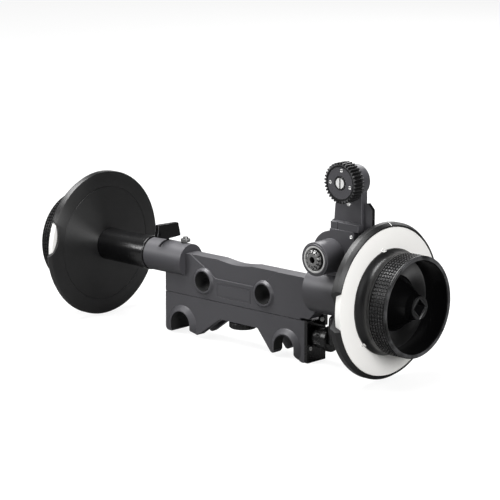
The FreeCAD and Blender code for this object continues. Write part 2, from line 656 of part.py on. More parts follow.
def adapter_outline():
    """Front outline of the adapter: two rod saddles, rounded legs and the arch between them."""
    half = STUDIO_ROD_SPACING / 2
    low_left, low_right = -ADAPTER_LEFT_LEG, -ADAPTER_RIGHT_LEG
    return [(BODY_LEFT, SEAM_Z, 0), (BODY_LEFT, low_left, TOE_CORNER),
            (-half - SADDLE_RADIUS, low_left, LEG_CORNER), (-half - SADDLE_RADIUS, 0, 0),
            (-half + SADDLE_RADIUS, 0, 0), (-half + SADDLE_RADIUS, -SADDLE_LIP, LEG_CORNER),
            (-half + LEFT_TOE_FROM_ROD, low_left + LEFT_TOE_RISE, TOE_CORNER),
            (ADAPTER_ARCH_LEFT, ADAPTER_ARCH_HEIGHT, LEG_CORNER),
            (ADAPTER_ARCH_RIGHT, ADAPTER_ARCH_HEIGHT, LEG_CORNER),
            (half - RIGHT_TOE_FROM_ROD, low_right + RIGHT_TOE_RISE, TOE_CORNER),
            (half - SADDLE_RADIUS, -SADDLE_LIP, LEG_CORNER), (half - SADDLE_RADIUS, 0, 0),
            (half + SADDLE_RADIUS, 0, 0), (half + SADDLE_RADIUS, low_right, OUTER_FOOT_CORNER),
            (ADAPTER_RIGHT, low_right, EDGE_CORNER), (ADAPTER_RIGHT, SEAM_Z, 0)]


def bridge_adapter():
    """Two saddle plates joined by a web on top and solid ends; the clamp jaw slides between them."""
    half = STUDIO_ROD_SPACING / 2
    low = -ADAPTER_RIGHT_LEG - PAST
    inner_front, inner_rear = ADAPTER_ROOM_Y - PAST, ADAPTER_REAR_Y + PAST
    outline = adapter_outline()
    front = plate_y(outline, FRONT_Y, ADAPTER_ROOM_Y)
    rear = plate_y(outline, ADAPTER_REAR_Y, ADAPTER_BACK_Y)
    web = block(BODY_LEFT, ADAPTER_RIGHT, inner_front, inner_rear,
                ADAPTER_ARCH_HEIGHT + ADAPTER_WEB_ABOVE_ARCH,
                SEAM_Z)
    left_leg = plate_y(outline, inner_front, inner_rear)
    left_leg = left_leg.cut(block(-half + LEFT_LEG_PAST_ROD, ADAPTER_RIGHT + PAST, FRONT_Y, ADAPTER_BACK_Y,
                                  low,
                                  SEAM_Z + PAST))
    right_leg = block(JAW_ROOM_RIGHT, ADAPTER_RIGHT, inner_front, inner_rear, -ADAPTER_RIGHT_LEG, SEAM_Z)
    shape = fuse(front, rear, web, left_leg, right_leg)
    keep = plate_y(outline, FRONT_Y - SADDLE_RIM_HEIGHT - PAST, FRONT_Y + PAST)
    rim_radius = SADDLE_RADIUS + SADDLE_RIM_WALL
    for x in (-half, half):
        rim = turned([(FRONT_Y - SADDLE_RIM_HEIGHT, 0),
                      (FRONT_Y - SADDLE_RIM_HEIGHT, SADDLE_RADIUS + SADDLE_RIM_LAND),
                      (FRONT_Y - SADDLE_RIM_FOOT, rim_radius - SADDLE_RIM_FOOT), (FRONT_Y, rim_radius),
                      (FRONT_Y + PAST, rim_radius), (FRONT_Y + PAST, 0)], "y", (x, 0))
        shape = shape.fuse(rim.common(keep))
    rim_front = FRONT_Y - SADDLE_RIM_HEIGHT - PAST
    for x in (-half, half):
        shape = shape.cut(rod_y(SADDLE_RADIUS, rim_front, ADAPTER_BACK_Y + PAST, x, 0))
        shape = shape.cut(block(x - SADDLE_RADIUS, x + SADDLE_RADIUS, rim_front, ADAPTER_BACK_Y + PAST, low,
                                0))
    jaw_room = block(half - JAW_ROOM_LEFT_OF_ROD, JAW_ROOM_RIGHT, ADAPTER_ROOM_Y, ADAPTER_REAR_Y, low,
                     CLAMP_AXIS_Z + JAW_ABOVE_SCREW + FREE_GAP)
    shape = shape.cut(jaw_room)
    shape = shape.cut(dovetail_prism(DOVETAIL_WIDTH, 0.0))
    shape = shape.cut(rod_x(CLAMP_SCREW_RADIUS + FREE_GAP, JAW_RIGHT, ADAPTER_RIGHT + PAST, CLAMP_AXIS_Y,
                            CLAMP_AXIS_Z))
    lock_screw = rod_z(LOCK_STUD_RADIUS + FREE_GAP, ADAPTER_ARCH_HEIGHT - PAST, SEAM_Z - LOCK_STUD_BELOW_SEAM,
                       0,
                       CLAMP_AXIS_Y)
    return shape.cut(lock_screw).removeSplitter()


def end_block():
    """Black block on the adapter's clamp end, with holes for the clamp screw and a roll pin."""
    low = -ADAPTER_RIGHT_LEG
    shape = plate_x([(FRONT_Y, SEAM_Z, 0), (FRONT_Y, low, EDGE_CORNER), (ADAPTER_BACK_Y, low, EDGE_CORNER),
                     (ADAPTER_BACK_Y, SEAM_Z, 0)], ADAPTER_RIGHT, END_FACE_X)
    shape = shape.cut(rod_x(CLAMP_SCREW_RADIUS + FREE_GAP, ADAPTER_RIGHT - PAST, END_FACE_X + PAST,
                            CLAMP_AXIS_Y,
                            CLAMP_AXIS_Z))
    return shape.cut(rod_x(ROLL_PIN_RADIUS, END_FACE_X - ROLL_PIN_DEPTH, END_FACE_X + PAST, ROLL_PIN_Y,
                           ROLL_PIN_Z))


def stop_bracket():
    """Small black plate behind the body's chamfer that keeps the body from sliding off its key."""
    y0 = BACK_Y + STOP_GAP
    shape = block(END_FACE_X, END_FACE_X + STOP_LENGTH, y0, y0 + STOP_THICKNESS, SEAM_Z - STOP_BELOW_SEAM,
                  SEAM_Z + STOP_ABOVE_SEAM)
    x, z = stop_screw_place()
    return shape.cut(rod_y(STOP_SCREW_RADIUS, y0 - PAST, y0 + STOP_THICKNESS + PAST, x, z))


def stop_screw_place():
    """X and Z of the screw through the stop bracket."""
    return END_FACE_X + STOP_SCREW_FROM_END, SEAM_Z + STOP_SCREW_ABOVE_SEAM


def bracket_screw():
    """Socket screw through the stop bracket."""
    x, z = stop_screw_place()
    seat = BACK_Y + STOP_GAP
    front = seat - STOP_SCREW_HEAD_HEIGHT
    head = rod_y(STOP_SCREW_HEAD_RADIUS, front, seat, x, z)
    head = head.cut(rod_y(STOP_SCREW_SOCKET_RADIUS, front - PAST, front + STOP_SCREW_SOCKET_DEPTH, x, z))
    return fuse(head, rod_y(STOP_SCREW_RADIUS, seat, seat + STOP_THICKNESS, x, z))


def rod_clamp_jaw():
    """Hooked jaw that closes on the outer side of the right rod; the clamp screw moves it along X."""
    half = STUDIO_ROD_SPACING / 2
    y0, y1 = ADAPTER_ROOM_Y + FREE_GAP, ADAPTER_REAR_Y - FREE_GAP
    ceiling, top = SADDLE_RADIUS + JAW_CEILING_GAP, CLAMP_AXIS_Z + JAW_ABOVE_SCREW
    left, hook = half - JAW_LEFT_OF_ROD, half + JAW_HOOK_FROM_ROD
    shape = plate_y([(left, top, EDGE_CORNER), (JAW_RIGHT, top, EDGE_CORNER),
                     (JAW_RIGHT, JAW_LOW_Z, LEG_CORNER),
                     (hook, JAW_LOW_Z, EDGE_CORNER), (hook, JAW_HOOK_TOP_Z, 0), (half, ceiling, 0),
                     (left, ceiling, EDGE_CORNER)], y0, y1)
    shape = shape.cut(rod_y(SADDLE_RADIUS, y0 - PAST, y1 + PAST, half, 0))
    return shape.cut(rod_x(CLAMP_SCREW_RADIUS + RUNNING_GAP, JAW_RIGHT - JAW_SCREW_DEPTH, JAW_RIGHT + PAST,
                           CLAMP_AXIS_Y, CLAMP_AXIS_Z))


# ---- sleeve, extension and bearings ----------------------------------------------------------
def coupling_sleeve():
    """Sleeve that takes the extension tube; the slot guides the locking lever."""
    shape = rod_x(SLEEVE_RADIUS, SLEEVE_LEFT, SLEEVE_RIGHT)
    shape = shape.cut(rod_x(SLEEVE_BORE_RADIUS, SLEEVE_LEFT - PAST, SLEEVE_RIGHT - SLEEVE_END_WALL))
    shape = shape.cut(rod_x(SHAFT_BORE, SLEEVE_RIGHT - SLEEVE_END_WALL - PAST, SLEEVE_RIGHT + PAST))
    shape = shape.cut(slot_sector(LEVER_X - LEVER_SLOT_HALF_WIDTH, LEVER_X + LEVER_SLOT_HALF_WIDTH,
                                  -LEVER_SLOT_SPARE_DEG, LEVER_SWEEP_DEG + LEVER_SLOT_SPARE_DEG))
    return shape.cut(rod_z(PAWL_STEM_RADIUS + FREE_GAP, AXIS_Z + SHAFT_BORE, AXIS_Z + SLEEVE_RADIUS + PAST,
                           PAWL_X,
                           PAWL_Y))


def slot_sector(x0, x1, from_deg, to_deg):
    """Ring sector around the shaft, from one angle to another, counted from +Z towards -Y."""

    def arc(radius, *angles):
        turns = [math.radians(angle) for angle in angles]
        return [vec(x0, -radius * math.sin(turn), AXIS_Z + radius * math.cos(turn)) for turn in turns]

    middle = (from_deg + to_deg) / 2
    outer = arc(SLEEVE_RADIUS + PAST, from_deg, middle, to_deg)
    inner = arc(SLEEVE_BORE_RADIUS - PAST, to_deg, middle, from_deg)
    wire = Part.Wire([Part.Arc(*outer).toShape(), Part.LineSegment(outer[2], inner[0]).toShape(),
                      Part.Arc(*inner).toShape(), Part.LineSegment(inner[2], outer[0]).toShape()])
    return Part.Face(wire).extrude(vec(x1 - x0, 0, 0))


def extension_tube():
    """Black tube that carries the far dish and plugs into the sleeve."""
    spigot = SLEEVE_BORE_RADIUS - TUBE_SPIGOT_GAP
    end = FAR_DISH_INNER_X - TUBE_PAST_DISH
    shoulder = FAR_DISH_INNER_X + DISH_CONE_RISE + TUBE_SHOULDER_GAP
    collar = TUBE_RIGHT - TUBE_COLLAR_LENGTH
    return turned([(end, TUBE_BORE_RADIUS), (end, FAR_SEAT_RADIUS), (shoulder, FAR_SEAT_RADIUS),
                   (shoulder, SLEEVE_RADIUS), (collar, SLEEVE_RADIUS),
                   (collar + TUBE_COLLAR_BEVEL, TUBE_COLLAR_RADIUS),
                   (TUBE_RIGHT - TUBE_COLLAR_BEVEL, TUBE_COLLAR_RADIUS),
                   (TUBE_RIGHT, TUBE_COLLAR_RADIUS - TUBE_COLLAR_BEVEL), (TUBE_RIGHT, spigot),
                   (TUBE_RIGHT + TUBE_SPIGOT_LENGTH, spigot),
                   (TUBE_RIGHT + TUBE_SPIGOT_LENGTH, TUBE_BORE_RADIUS)])


def spacer_ring():
    """Dark rubber ring in the gap between tube collar and sleeve."""
    return tube_x(SLEEVE_RADIUS - SPACER_RECESS, SLEEVE_BORE_RADIUS - TUBE_SPIGOT_GAP, TUBE_RIGHT,
                  SLEEVE_LEFT)


def shaft_bearings():
    """Plain bushes that carry the shaft: far end, sleeve, body and near end."""
    places = ((FAR_DISH_INNER_X - TUBE_PAST_DISH, TUBE_BORE_RADIUS), (SLEEVE_RIGHT, BEARING_RADIUS),
              (HOUSING_LEFT - BEARING_WIDTH, BEARING_RADIUS), (NOSE_BEARING_X, NOSE_BEARING_RADIUS))
    return Part.makeCompound([tube_x(outer, SHAFT_RADIUS + RUNNING_GAP, x0, x0 + BEARING_WIDTH)
                              for x0, outer in places])


# ---- gear housing -----------------------------------------------------------------------------
def gear_housing():
    """Round housing of the screw gears: a barrel along the shaft and a drum behind the arm."""

    def at_pivot(radius, y0, y1):
        return rod_y(radius, y0, y1, PIVOT_X, PIVOT_Z)

    barrel = rod_x(HOUSING_RADIUS, HOUSING_LEFT, HOUSING_RIGHT)
    nose = rod_x(DISH_SEAT_RADIUS, HOUSING_RIGHT - PAST, HOUSING_NOSE_END)
    shape = fuse(barrel, nose, at_pivot(HOUSING_RADIUS, DRUM_FRONT_Y, DRUM_BACK_Y))
    shape = shape.cut(fuse(at_pivot(ARM_HUB_RADIUS + FREE_GAP, PIVOT_FRONT_Y, ARM_HUB_STEP_Y + FREE_GAP),
                           at_pivot(ARM_HUB_REAR_RADIUS + FREE_GAP, PIVOT_FRONT_Y, DRUM_FRONT_Y)))
    cavity = SCREW_GEAR_TIP + FREE_GAP
    shape = shape.cut(rod_x(cavity, HOUSING_LEFT + HOUSING_WALL, HOUSING_RIGHT - HOUSING_NEAR_WALL))
    shape = shape.cut(at_pivot(cavity, DRUM_FRONT_Y + DRUM_WALL, DRUM_BACK_Y))
    shape = shape.cut(rod_x(SHAFT_BORE, HOUSING_LEFT - PAST, HOUSING_NOSE_END + PAST))
    shape = shape.cut(rod_x(NOSE_BEARING_RADIUS, NOSE_BEARING_X, HOUSING_NOSE_END + PAST))
    return shape.cut(at_pivot(JOURNAL_RADIUS, DRUM_FRONT_Y - PAST, DRUM_FRONT_Y + DRUM_WALL + PAST))


def drum_cover():
    """Cover that closes the back of the drum and carries the output shaft's rear bearing."""
    radius = HOUSING_RADIUS - COVER_STEP
    plate = rod_y(radius, DRUM_BACK_Y, DRUM_BACK_Y + COVER_THICKNESS, PIVOT_X, PIVOT_Z)
    chord = AXIS_Z + math.sqrt(HOUSING_RADIUS ** 2 - DRUM_BACK_Y ** 2) + 2 * RUNNING_GAP
    plate = plate.cut(block(PIVOT_X - radius, PIVOT_X + radius, DRUM_BACK_Y - PAST,
                            DRUM_BACK_Y + COVER_THICKNESS + PAST, chord - radius, chord))
    hub = rod_y(COVER_HUB_RADIUS, DRUM_BACK_Y - COVER_HUB_LENGTH, DRUM_BACK_Y + COVER_THICKNESS / 2, PIVOT_X,
                PIVOT_Z)
    bore = rod_y(OUTPUT_SHAFT_RADIUS + RUNNING_GAP, DRUM_BACK_Y - COVER_HUB_LENGTH - PAST,
                 DRUM_BACK_Y + COVER_BORE_DEPTH, PIVOT_X, PIVOT_Z)
    return fuse(plate, hub).cut(bore)


def cover_screws():
    """Slotted screws on the drum's rear cover."""
    y0 = DRUM_BACK_Y + COVER_THICKNESS
    y1 = y0 + COVER_SCREW_HEIGHT
    screws = []
    for number in range(COVER_SCREW_COUNT):
        turn = 2 * math.pi * (number + 0.5) / COVER_SCREW_COUNT
        x = PIVOT_X + COVER_SCREW_CIRCLE * math.sin(turn)
        z = PIVOT_Z + COVER_SCREW_CIRCLE * math.cos(turn)
        head = rod_y(COVER_SCREW_RADIUS, y0, y1, x, z)
        slot = block(x - COVER_SCREW_RADIUS - PAST, x + COVER_SCREW_RADIUS + PAST, y1 - SCREW_SLOT_DEPTH,
                     y1 + PAST,
                     z - SCREW_SLOT_HALF_WIDTH, z + SCREW_SLOT_HALF_WIDTH)
        screws.append(head.cut(slot))
    return Part.makeCompound(screws)


def pivot_journal():
    """Tube on the drum around which the arm turns; its window lets the train out at every swing angle."""
    end = DRUM_FRONT_Y + DRUM_WALL
    shape = rod_y(JOURNAL_RADIUS, JOURNAL_FRONT_Y, end, PIVOT_X, PIVOT_Z)
    shape = shape.cut(rod_y(JOURNAL_RADIUS - JOURNAL_WALL, JOURNAL_FRONT_Y + JOURNAL_PLUG, end + PAST,
                            PIVOT_X,
                            PIVOT_Z))
    shape = shape.cut(rod_y(OUTPUT_SHAFT_RADIUS + RUNNING_GAP, JOURNAL_FRONT_Y - PAST, end, PIVOT_X, PIVOT_Z))
    start = ARM_LEAN_DEG - ARM_SWING_LEFT - JOURNAL_WINDOW_DEG
    sweep = ARM_SWING_LEFT + ARM_SWING_RIGHT + 2 * JOURNAL_WINDOW_DEG
    steps = 4
    reach = (JOURNAL_RADIUS + PAST) / math.cos(math.radians(sweep / steps / 2))
    corners = [(PIVOT_X, PIVOT_Z, 0)]
    for number in range(steps + 1):
        turn = math.radians(start + sweep * number / steps)
        corners.append((PIVOT_X + reach * math.sin(turn), PIVOT_Z + reach * math.cos(turn), 0))
    window = plate_y(corners, GEAR_PLANE_Y - FREE_GAP, GEAR_PLANE_Y + ARM_GEAR_WIDTH + FREE_GAP)
    return shape.cut(window)


# ---- everything about the handwheels ----------------------------------------------------------
def mirrored_profile(profile, origin, direction):
    """Profile given outward from origin, laid along +X or -X."""
    return [(origin + direction * along, radius) for along, radius in profile]


def index_dish(face_x, direction, notch_deg, seat_radius):
    """Index dish: flat rim, shallow cone towards the body, pocket for the marking ring."""
    back = -DISH_THICKNESS
    bore = seat_radius + RUNNING_GAP
    rim_inner = DISH_RADIUS - DISH_RIM_WALL
    profile = [(0.0, rim_inner), (0.0, rim_inner + DISH_RIM_LAND), (-DISH_BEVEL, DISH_RADIUS),
               (back + DISH_BACK_BEVEL, DISH_RADIUS), (back, DISH_RADIUS - DISH_BACK_BEVEL),
               (back, DISH_FLAT_INNER_RADIUS), (back - DISH_CONE_RISE, seat_radius + DISH_HUB_WALL),
               (back - DISH_CONE_RISE, bore), (back + DISH_WEB, bore), (back + DISH_WEB, rim_inner)]
    shape = turned(mirrored_profile(profile, face_x, direction))
    scallop = rod_x(NOTCH_RADIUS, face_x - NOTCH_TOOL_HALF_LENGTH, face_x + NOTCH_TOOL_HALF_LENGTH,
                    -NOTCH_CENTRE)
    return shape.cut(around_shaft(scallop, -notch_deg))


def marking_ring(face_x, direction):
    """White ring that takes the focus marks; it turns with the handwheel."""
    bore, back = RING_SEAT_RADIUS + RUNNING_GAP, -MARKING_RING_THICKNESS
    profile = [(0.0, bore), (0.0, MARKING_RING_RADIUS - MARKING_RING_BEVEL),
               (-MARKING_RING_BEVEL, MARKING_RING_RADIUS), (back, MARKING_RING_RADIUS), (back, bore)]
    return turned(mirrored_profile(profile, face_x, direction))


def waist_points():
    """Concave neck between the collar and the grip band."""
    start, end = COLLAR_LENGTH, GRIP_END - GRIP_LENGTH
    sag = min(COLLAR_RADIUS, WHEEL_RADIUS) - WAIST_RADIUS
    points = []
    steps = 8
    for step in range(steps + 1):
        share = step / steps
        chord = COLLAR_RADIUS + (WHEEL_RADIUS - COLLAR_RADIUS) * share
        points.append((start + (end - start) * share, chord - sag * math.sin(math.pi * share)))
    return points


def handwheel(face_x, direction):
    """Grip wheel: collar, concave neck, grip band and a deep cup with a central hub."""
    floor = WHEEL_LENGTH - CUP_DEPTH
    profile = [(-MARKING_RING_THICKNESS, SHAFT_RADIUS), (-MARKING_RING_THICKNESS, RING_SEAT_RADIUS),
               (0.0, RING_SEAT_RADIUS), (0.0, COLLAR_RADIUS)]
    profile += waist_points()
    profile += [(GRIP_END, WHEEL_RADIUS), (WHEEL_LENGTH, WHEEL_LIP_RADIUS),
                (WHEEL_LENGTH, CUP_RADIUS + CUP_MOUTH_BEVEL), (WHEEL_LENGTH - CUP_MOUTH_BEVEL, CUP_RADIUS),
                (floor, CUP_RADIUS), (floor, HUB_FOOT_RADIUS),
                (WHEEL_LENGTH - HUB_NECK_DEPTH, HUB_RADIUS + HUB_NECK_WALL),
                (HUB_END - HUB_BEVEL, HUB_RADIUS),
                (HUB_END, HUB_RADIUS - HUB_BEVEL), (HUB_END, SHAFT_RADIUS)]
    shape = turned(mirrored_profile(profile, face_x, direction))
    seat = socket_block(face_x + direction * (HUB_END - SOCKET_DEPTH), face_x + direction * (HUB_END + PAST),
                        SOCKET_SIDE + 2 * (SOCKET_WALL + SOCKET_SEAT_GAP))
    return shape.cut(seat)


def socket_block(x0, x1, side):
    """Square bar along X, standing on its edge like the crank's drive end."""
    low, high = min(x0, x1), max(x0, x1)
    bar = block(low, high, -side / 2, side / 2, AXIS_Z - side / 2, AXIS_Z + side / 2)
    return around_shaft(bar, 45)


def crank_socket(face_x, direction):
    """Hard insert with the square hole that takes a crank or a flexible shaft."""
    start = face_x + direction * (HUB_END - SOCKET_DEPTH)
    end = face_x + direction * (HUB_END - SOCKET_SUNK)
    outer = socket_block(start, end, SOCKET_SIDE + 2 * SOCKET_WALL)
    return outer.cut(socket_block(start + direction * SOCKET_FLOOR, end + direction * PAST, SOCKET_SIDE))


def ring_clips(face_x, direction):
    """Small spring clips that hold the marking ring against the collar."""
    ends = sorted((face_x, face_x + direction * CLIP_LENGTH))
    clip = block(ends[0], ends[1], -CLIP_HALF_WIDTH, CLIP_HALF_WIDTH, AXIS_Z + COLLAR_RADIUS,
                 AXIS_Z + COLLAR_RADIUS + CLIP_HEIGHT)
    return Part.makeCompound([around_shaft(clip, CLIP_ANGLE + 360.0 * number / CLIP_COUNT)
                              for number in range(CLIP_COUNT)])


def main_shaft():
    """Near half of the shaft, from the coupling in the sleeve to the near wheel's hub."""
    return rod_x(SHAFT_RADIUS, COUPLING_X, NEAR_FACE_X + HUB_END - SOCKET_DEPTH)


def extension_shaft():
    """Far half of the shaft, inside the extension tube."""
    return rod_x(SHAFT_RADIUS, FAR_FACE_X - HUB_END + SOCKET_DEPTH, COUPLING_X)


def shaft_coupling():
    """Dog coupling where the two halves of the shaft meet."""
    half = COUPLING_LENGTH / 2
    return tube_x(COUPLING_RADIUS, SHAFT_RADIUS, COUPLING_X - half, COUPLING_X + half)


def shaft_gear():
    """Screw gear on the shaft, under the swing arm's pivot."""
    half = SCREW_GEAR_WIDTH / 2

    def place(along, angle, radius):
        return vec(PIVOT_X + along, radius * math.sin(angle), AXIS_Z + radius * math.cos(angle))

    gear = screw_gear(place, -half, half, 0.0)
    return gear.cut(rod_x(SHAFT_RADIUS, PIVOT_X - SCREW_GEAR_WIDTH, PIVOT_X + SCREW_GEAR_WIDTH))


# ---- output gear and swing arm -----------------------------------------------------------------
def output_gear():
    """Screw gear on the output shaft, meshed with the one below it."""
    start = DRUM_FRONT_Y + DRUM_WALL + FREE_GAP
    end = start + OUTPUT_GEAR_WIDTH

    def place(along, angle, radius):
        return vec(PIVOT_X + radius * math.sin(angle), along, PIVOT_Z - radius * math.cos(angle))

    gear = screw_gear(place, start, end, math.pi / SCREW_GEAR_TEETH)
    return gear.cut(rod_y(OUTPUT_SHAFT_RADIUS, start - PAST, end + PAST, PIVOT_X, PIVOT_Z))


def output_shaft():
    """Shaft from the drum cover through the journal's plug."""
    return rod_y(OUTPUT_SHAFT_RADIUS, JOURNAL_FRONT_Y + OUTPUT_SHAFT_GAP, DRUM_BACK_Y + OUTPUT_SHAFT_IN_COVER,
                 PIVOT_X, PIVOT_Z)


def sun_gear():
    """First gear of the arm's train, fixed on the output shaft."""
    return arm_wheel(0, OUTPUT_SHAFT_RADIUS)


def arm_wheel(position, bore_radius):
    """Gear of the arm's train, counted from the sun gear at 0.

    With an odd number of teeth, a wheel that has a tooth on its outer side has a gap on its inner
    side, so every wheel of the train sits with a tooth towards the lens gear.
    """
    x, z = arm_point(position * ARM_STEP)
    gear = spur_gear(ARM_GEAR_TEETH, ARM_MODULE, ARM_GEAR_WIDTH, GEAR_PLANE_Y, x, z, ARM_GEAR_BACKLASH,
                     ARM_LEAN_DEG)
    return gear.cut(rod_y(bore_radius, GEAR_PLANE_Y - PAST, GEAR_PLANE_Y + ARM_GEAR_WIDTH + PAST, x, z))


def lens_gear():
    """Toothed ring that drives the lens."""
    gear = spur_gear(LENS_GEAR_TEETH, LENS_GEAR_MODULE, LENS_GEAR_WIDTH, LENS_GEAR_FRONT_Y, GEAR_X, GEAR_Z,
                     0.0, 0.0)
    front = LENS_GEAR_FRONT_Y - PAST
    gear = gear.cut(rod_y(FACE_RECESS_RADIUS, front, FACE_RECESS_Y, GEAR_X, GEAR_Z))
    return gear.cut(rod_y(DRIVE_SPINDLE_RADIUS, front, LENS_GEAR_FRONT_Y + LENS_GEAR_WIDTH + PAST, GEAR_X,
                          GEAR_Z))


def face_plate():
    """Round plate that keeps the lens gear on its seat."""
    y0 = FACE_PLATE_FRONT_Y
    shape = rod_y(FACE_RECESS_RADIUS - FREE_GAP, y0, FACE_RECESS_Y, GEAR_X, GEAR_Z)
    shape = shape.cut(rod_y(CENTRE_SEAT_RADIUS, y0 - PAST, centre_seat_y(), GEAR_X, GEAR_Z))
    shape = shape.cut(rod_y(DRIVE_SPINDLE_RADIUS, y0 - PAST, FACE_RECESS_Y + PAST, GEAR_X, GEAR_Z))
    for x, z in face_screw_places():
        shape = shape.cut(rod_y(FACE_SCREW_RADIUS + RUNNING_GAP, y0 - PAST, y0 + FACE_SCREW_SEAT, x, z))
    return shape


def centre_seat_y():
    """Y of the seat under the centre screw's head."""
    return LENS_GEAR_FRONT_Y + CENTRE_SCREW_SUNK + CENTRE_SCREW_HEIGHT


def face_screw_places():
    """X and Z of each screw in the face plate."""
    turns = [math.radians(angle) for angle in FACE_SCREW_ANGLES]
    return [(GEAR_X + FACE_SCREW_CIRCLE * math.sin(turn), GEAR_Z + FACE_SCREW_CIRCLE * math.cos(turn))
            for turn in turns]


def face_screws():
    """Small slotted screws of the face plate, flush with its front."""
    y0, y1 = FACE_PLATE_FRONT_Y + RUNNING_GAP, FACE_PLATE_FRONT_Y + FACE_SCREW_SEAT
    screws = []
    for x, z in face_screw_places():
        head = rod_y(FACE_SCREW_RADIUS, y0, y1, x, z)
        slot = block(x - FACE_SCREW_RADIUS - PAST, x + FACE_SCREW_RADIUS + PAST, y0 - PAST,
                     y0 + SCREW_SLOT_DEPTH,
                     z - SCREW_SLOT_HALF_WIDTH, z + SCREW_SLOT_HALF_WIDTH)
        screws.append(head.cut(slot))
    return Part.makeCompound(screws)


def centre_screw():
    """Bright slotted screw on the lens gear's axis."""
    y0 = LENS_GEAR_FRONT_Y + CENTRE_SCREW_SUNK
    head = rod_y(CENTRE_SCREW_RADIUS, y0, centre_seat_y(), GEAR_X, GEAR_Z)
    return head.cut(block(GEAR_X - CENTRE_SLOT_HALF_WIDTH, GEAR_X + CENTRE_SLOT_HALF_WIDTH, y0 - PAST,
                          y0 + CENTRE_SLOT_DEPTH, GEAR_Z - CENTRE_SCREW_RADIUS - PAST,
                          GEAR_Z + CENTRE_SCREW_RADIUS + PAST))


def drive_spindle():
    """Spindle that joins the last wheel in the arm to the lens gear."""
    return rod_y(DRIVE_SPINDLE_RADIUS, centre_seat_y(), GEAR_PLANE_Y + ARM_GEAR_WIDTH, GEAR_X, GEAR_Z)


def arm_shell_outline():
    """Outline of the upright part of the arm, seen from the front."""
    right, foot = PIVOT_X + ARM_RIGHT, PIVOT_Z + ARM_FOOT_HEIGHT
    return [(PIVOT_X - ARM_LEFT_EDGE, foot, 0), (right, foot, 0), (right, GEAR_Z - ARM_TOP_BELOW_GEAR, 0),
            (GEAR_X + ARM_HEAD_HALF_WIDTH, GEAR_Z, 0), (GEAR_X - ARM_HEAD_HALF_WIDTH, GEAR_Z, 0),
            (GEAR_X - ARM_HEAD_SIDE, GEAR_Z - ARM_HEAD_BELOW_GEAR, ARM_HEAD_ROUNDING),
            (PIVOT_X - ARM_SHOULDER_EDGE, PIVOT_Z + ARM_SHOULDER_HEIGHT, ARM_SHOULDER_ROUNDING),
            (PIVOT_X - ARM_NOTCH_EDGE, PIVOT_Z + ARM_NOTCH_HEIGHT, 0),
            (PIVOT_X - ARM_LEFT_EDGE, PIVOT_Z + ARM_LEFT_EDGE_TOP, 0)]


def bracket_outline():
    """Outline of the arm's foot: flat on top, reaching right under the arm."""
    left, right = PIVOT_X - BRACKET_LEFT, PIVOT_X + BRACKET_REACH
    return [(left, BRACKET_TOP_Z, 0), (right, BRACKET_TOP_Z, LEG_CORNER),
            (right, PIVOT_Z + BRACKET_LOW, LEG_CORNER),
            (left, PIVOT_Z, 0)]


def swing_arm():
    """Swing arm: pivot barrel, foot, upright shell and round head in one casting."""

    def at_pivot(radius, y0, y1):
        return rod_y(radius, y0, y1, PIVOT_X, PIVOT_Z)

    front = PIVOT_FRONT_Y - PAST
    sector = at_pivot(BRACKET_RADIUS, BRACKET_FRONT_Y, ARM_BACK_Y)
    sector = sector.cut(block(PIVOT_X - BRACKET_RADIUS, PIVOT_X + BRACKET_RADIUS, BRACKET_FRONT_Y - PAST,
                              ARM_BACK_Y + PAST, PIVOT_Z - BRACKET_RADIUS, PIVOT_Z + BRACKET_SECTOR_LOW))
    shape = fuse(at_pivot(PIVOT_BARREL_RADIUS, PIVOT_FRONT_Y + RETAINING_RING_BEVEL, BRACKET_FRONT_Y + PAST),
                 at_pivot(ARM_HUB_RADIUS, BRACKET_FRONT_Y, ARM_HUB_STEP_Y),
                 at_pivot(ARM_HUB_REAR_RADIUS, BRACKET_FRONT_Y, ARM_BACK_Y), sector,
                 plate_y(bracket_outline(), BRACKET_FRONT_Y, ARM_BACK_Y),
                 plate_y(arm_shell_outline(), ARM_FRONT_Y, ARM_BACK_Y),
                 rod_y(HEAD_BOSS_RADIUS, LENS_GEAR_FRONT_Y + LENS_GEAR_WIDTH + HEAD_GAP, ARM_BACK_Y, GEAR_X,
                       GEAR_Z))
    for position in range(ARM_GEAR_STEPS + 1):
        x, z = arm_point(position * ARM_STEP)
        shape = shape.cut(rod_y(ARM_GEAR_TIP + FREE_GAP, GEAR_PLANE_Y - FREE_GAP, ARM_BACK_Y + PAST, x, z))
    shape = shape.cut(at_pivot(JOURNAL_RADIUS + RUNNING_GAP, front, ARM_BACK_Y + PAST))
    shape = shape.cut(at_pivot(retaining_ring_radius(), front, PIVOT_FRONT_Y + RETAINING_RING_LENGTH))
    shape = shape.cut(rod_y(DRIVE_BORE_RADIUS, LENS_GEAR_FRONT_Y, GEAR_PLANE_Y, GEAR_X, GEAR_Z))
    return shape.cut(rear_cover(REAR_COVER_GAP, PAST)).removeSplitter()


def rear_cover(grow, proud):
    """Thin round-ended plate around the gear axes, wider around the pivot."""
    half_width = ARM_GEAR_TIP + FREE_GAP + REAR_COVER_MARGIN + grow
    y0, y1 = ARM_BACK_Y - ARM_WALL, ARM_BACK_Y + proud
    side = vec(ARM_DIRECTION[1], 0, -ARM_DIRECTION[0]) * half_width
    low, high = vec(PIVOT_X, y0, PIVOT_Z), vec(GEAR_X, y0, GEAR_Z)
    wire = Part.makePolygon([low + side, high + side, high - side, low - side, low + side])
    strip = Part.Face(wire).extrude(vec(0, y1 - y0, 0))
    return fuse(strip, rod_y(half_width, y0, y1, GEAR_X, GEAR_Z),
                rod_y(JOURNAL_RADIUS + REAR_COVER_PIVOT_MARGIN + grow, y0, y1, PIVOT_X, PIVOT_Z))


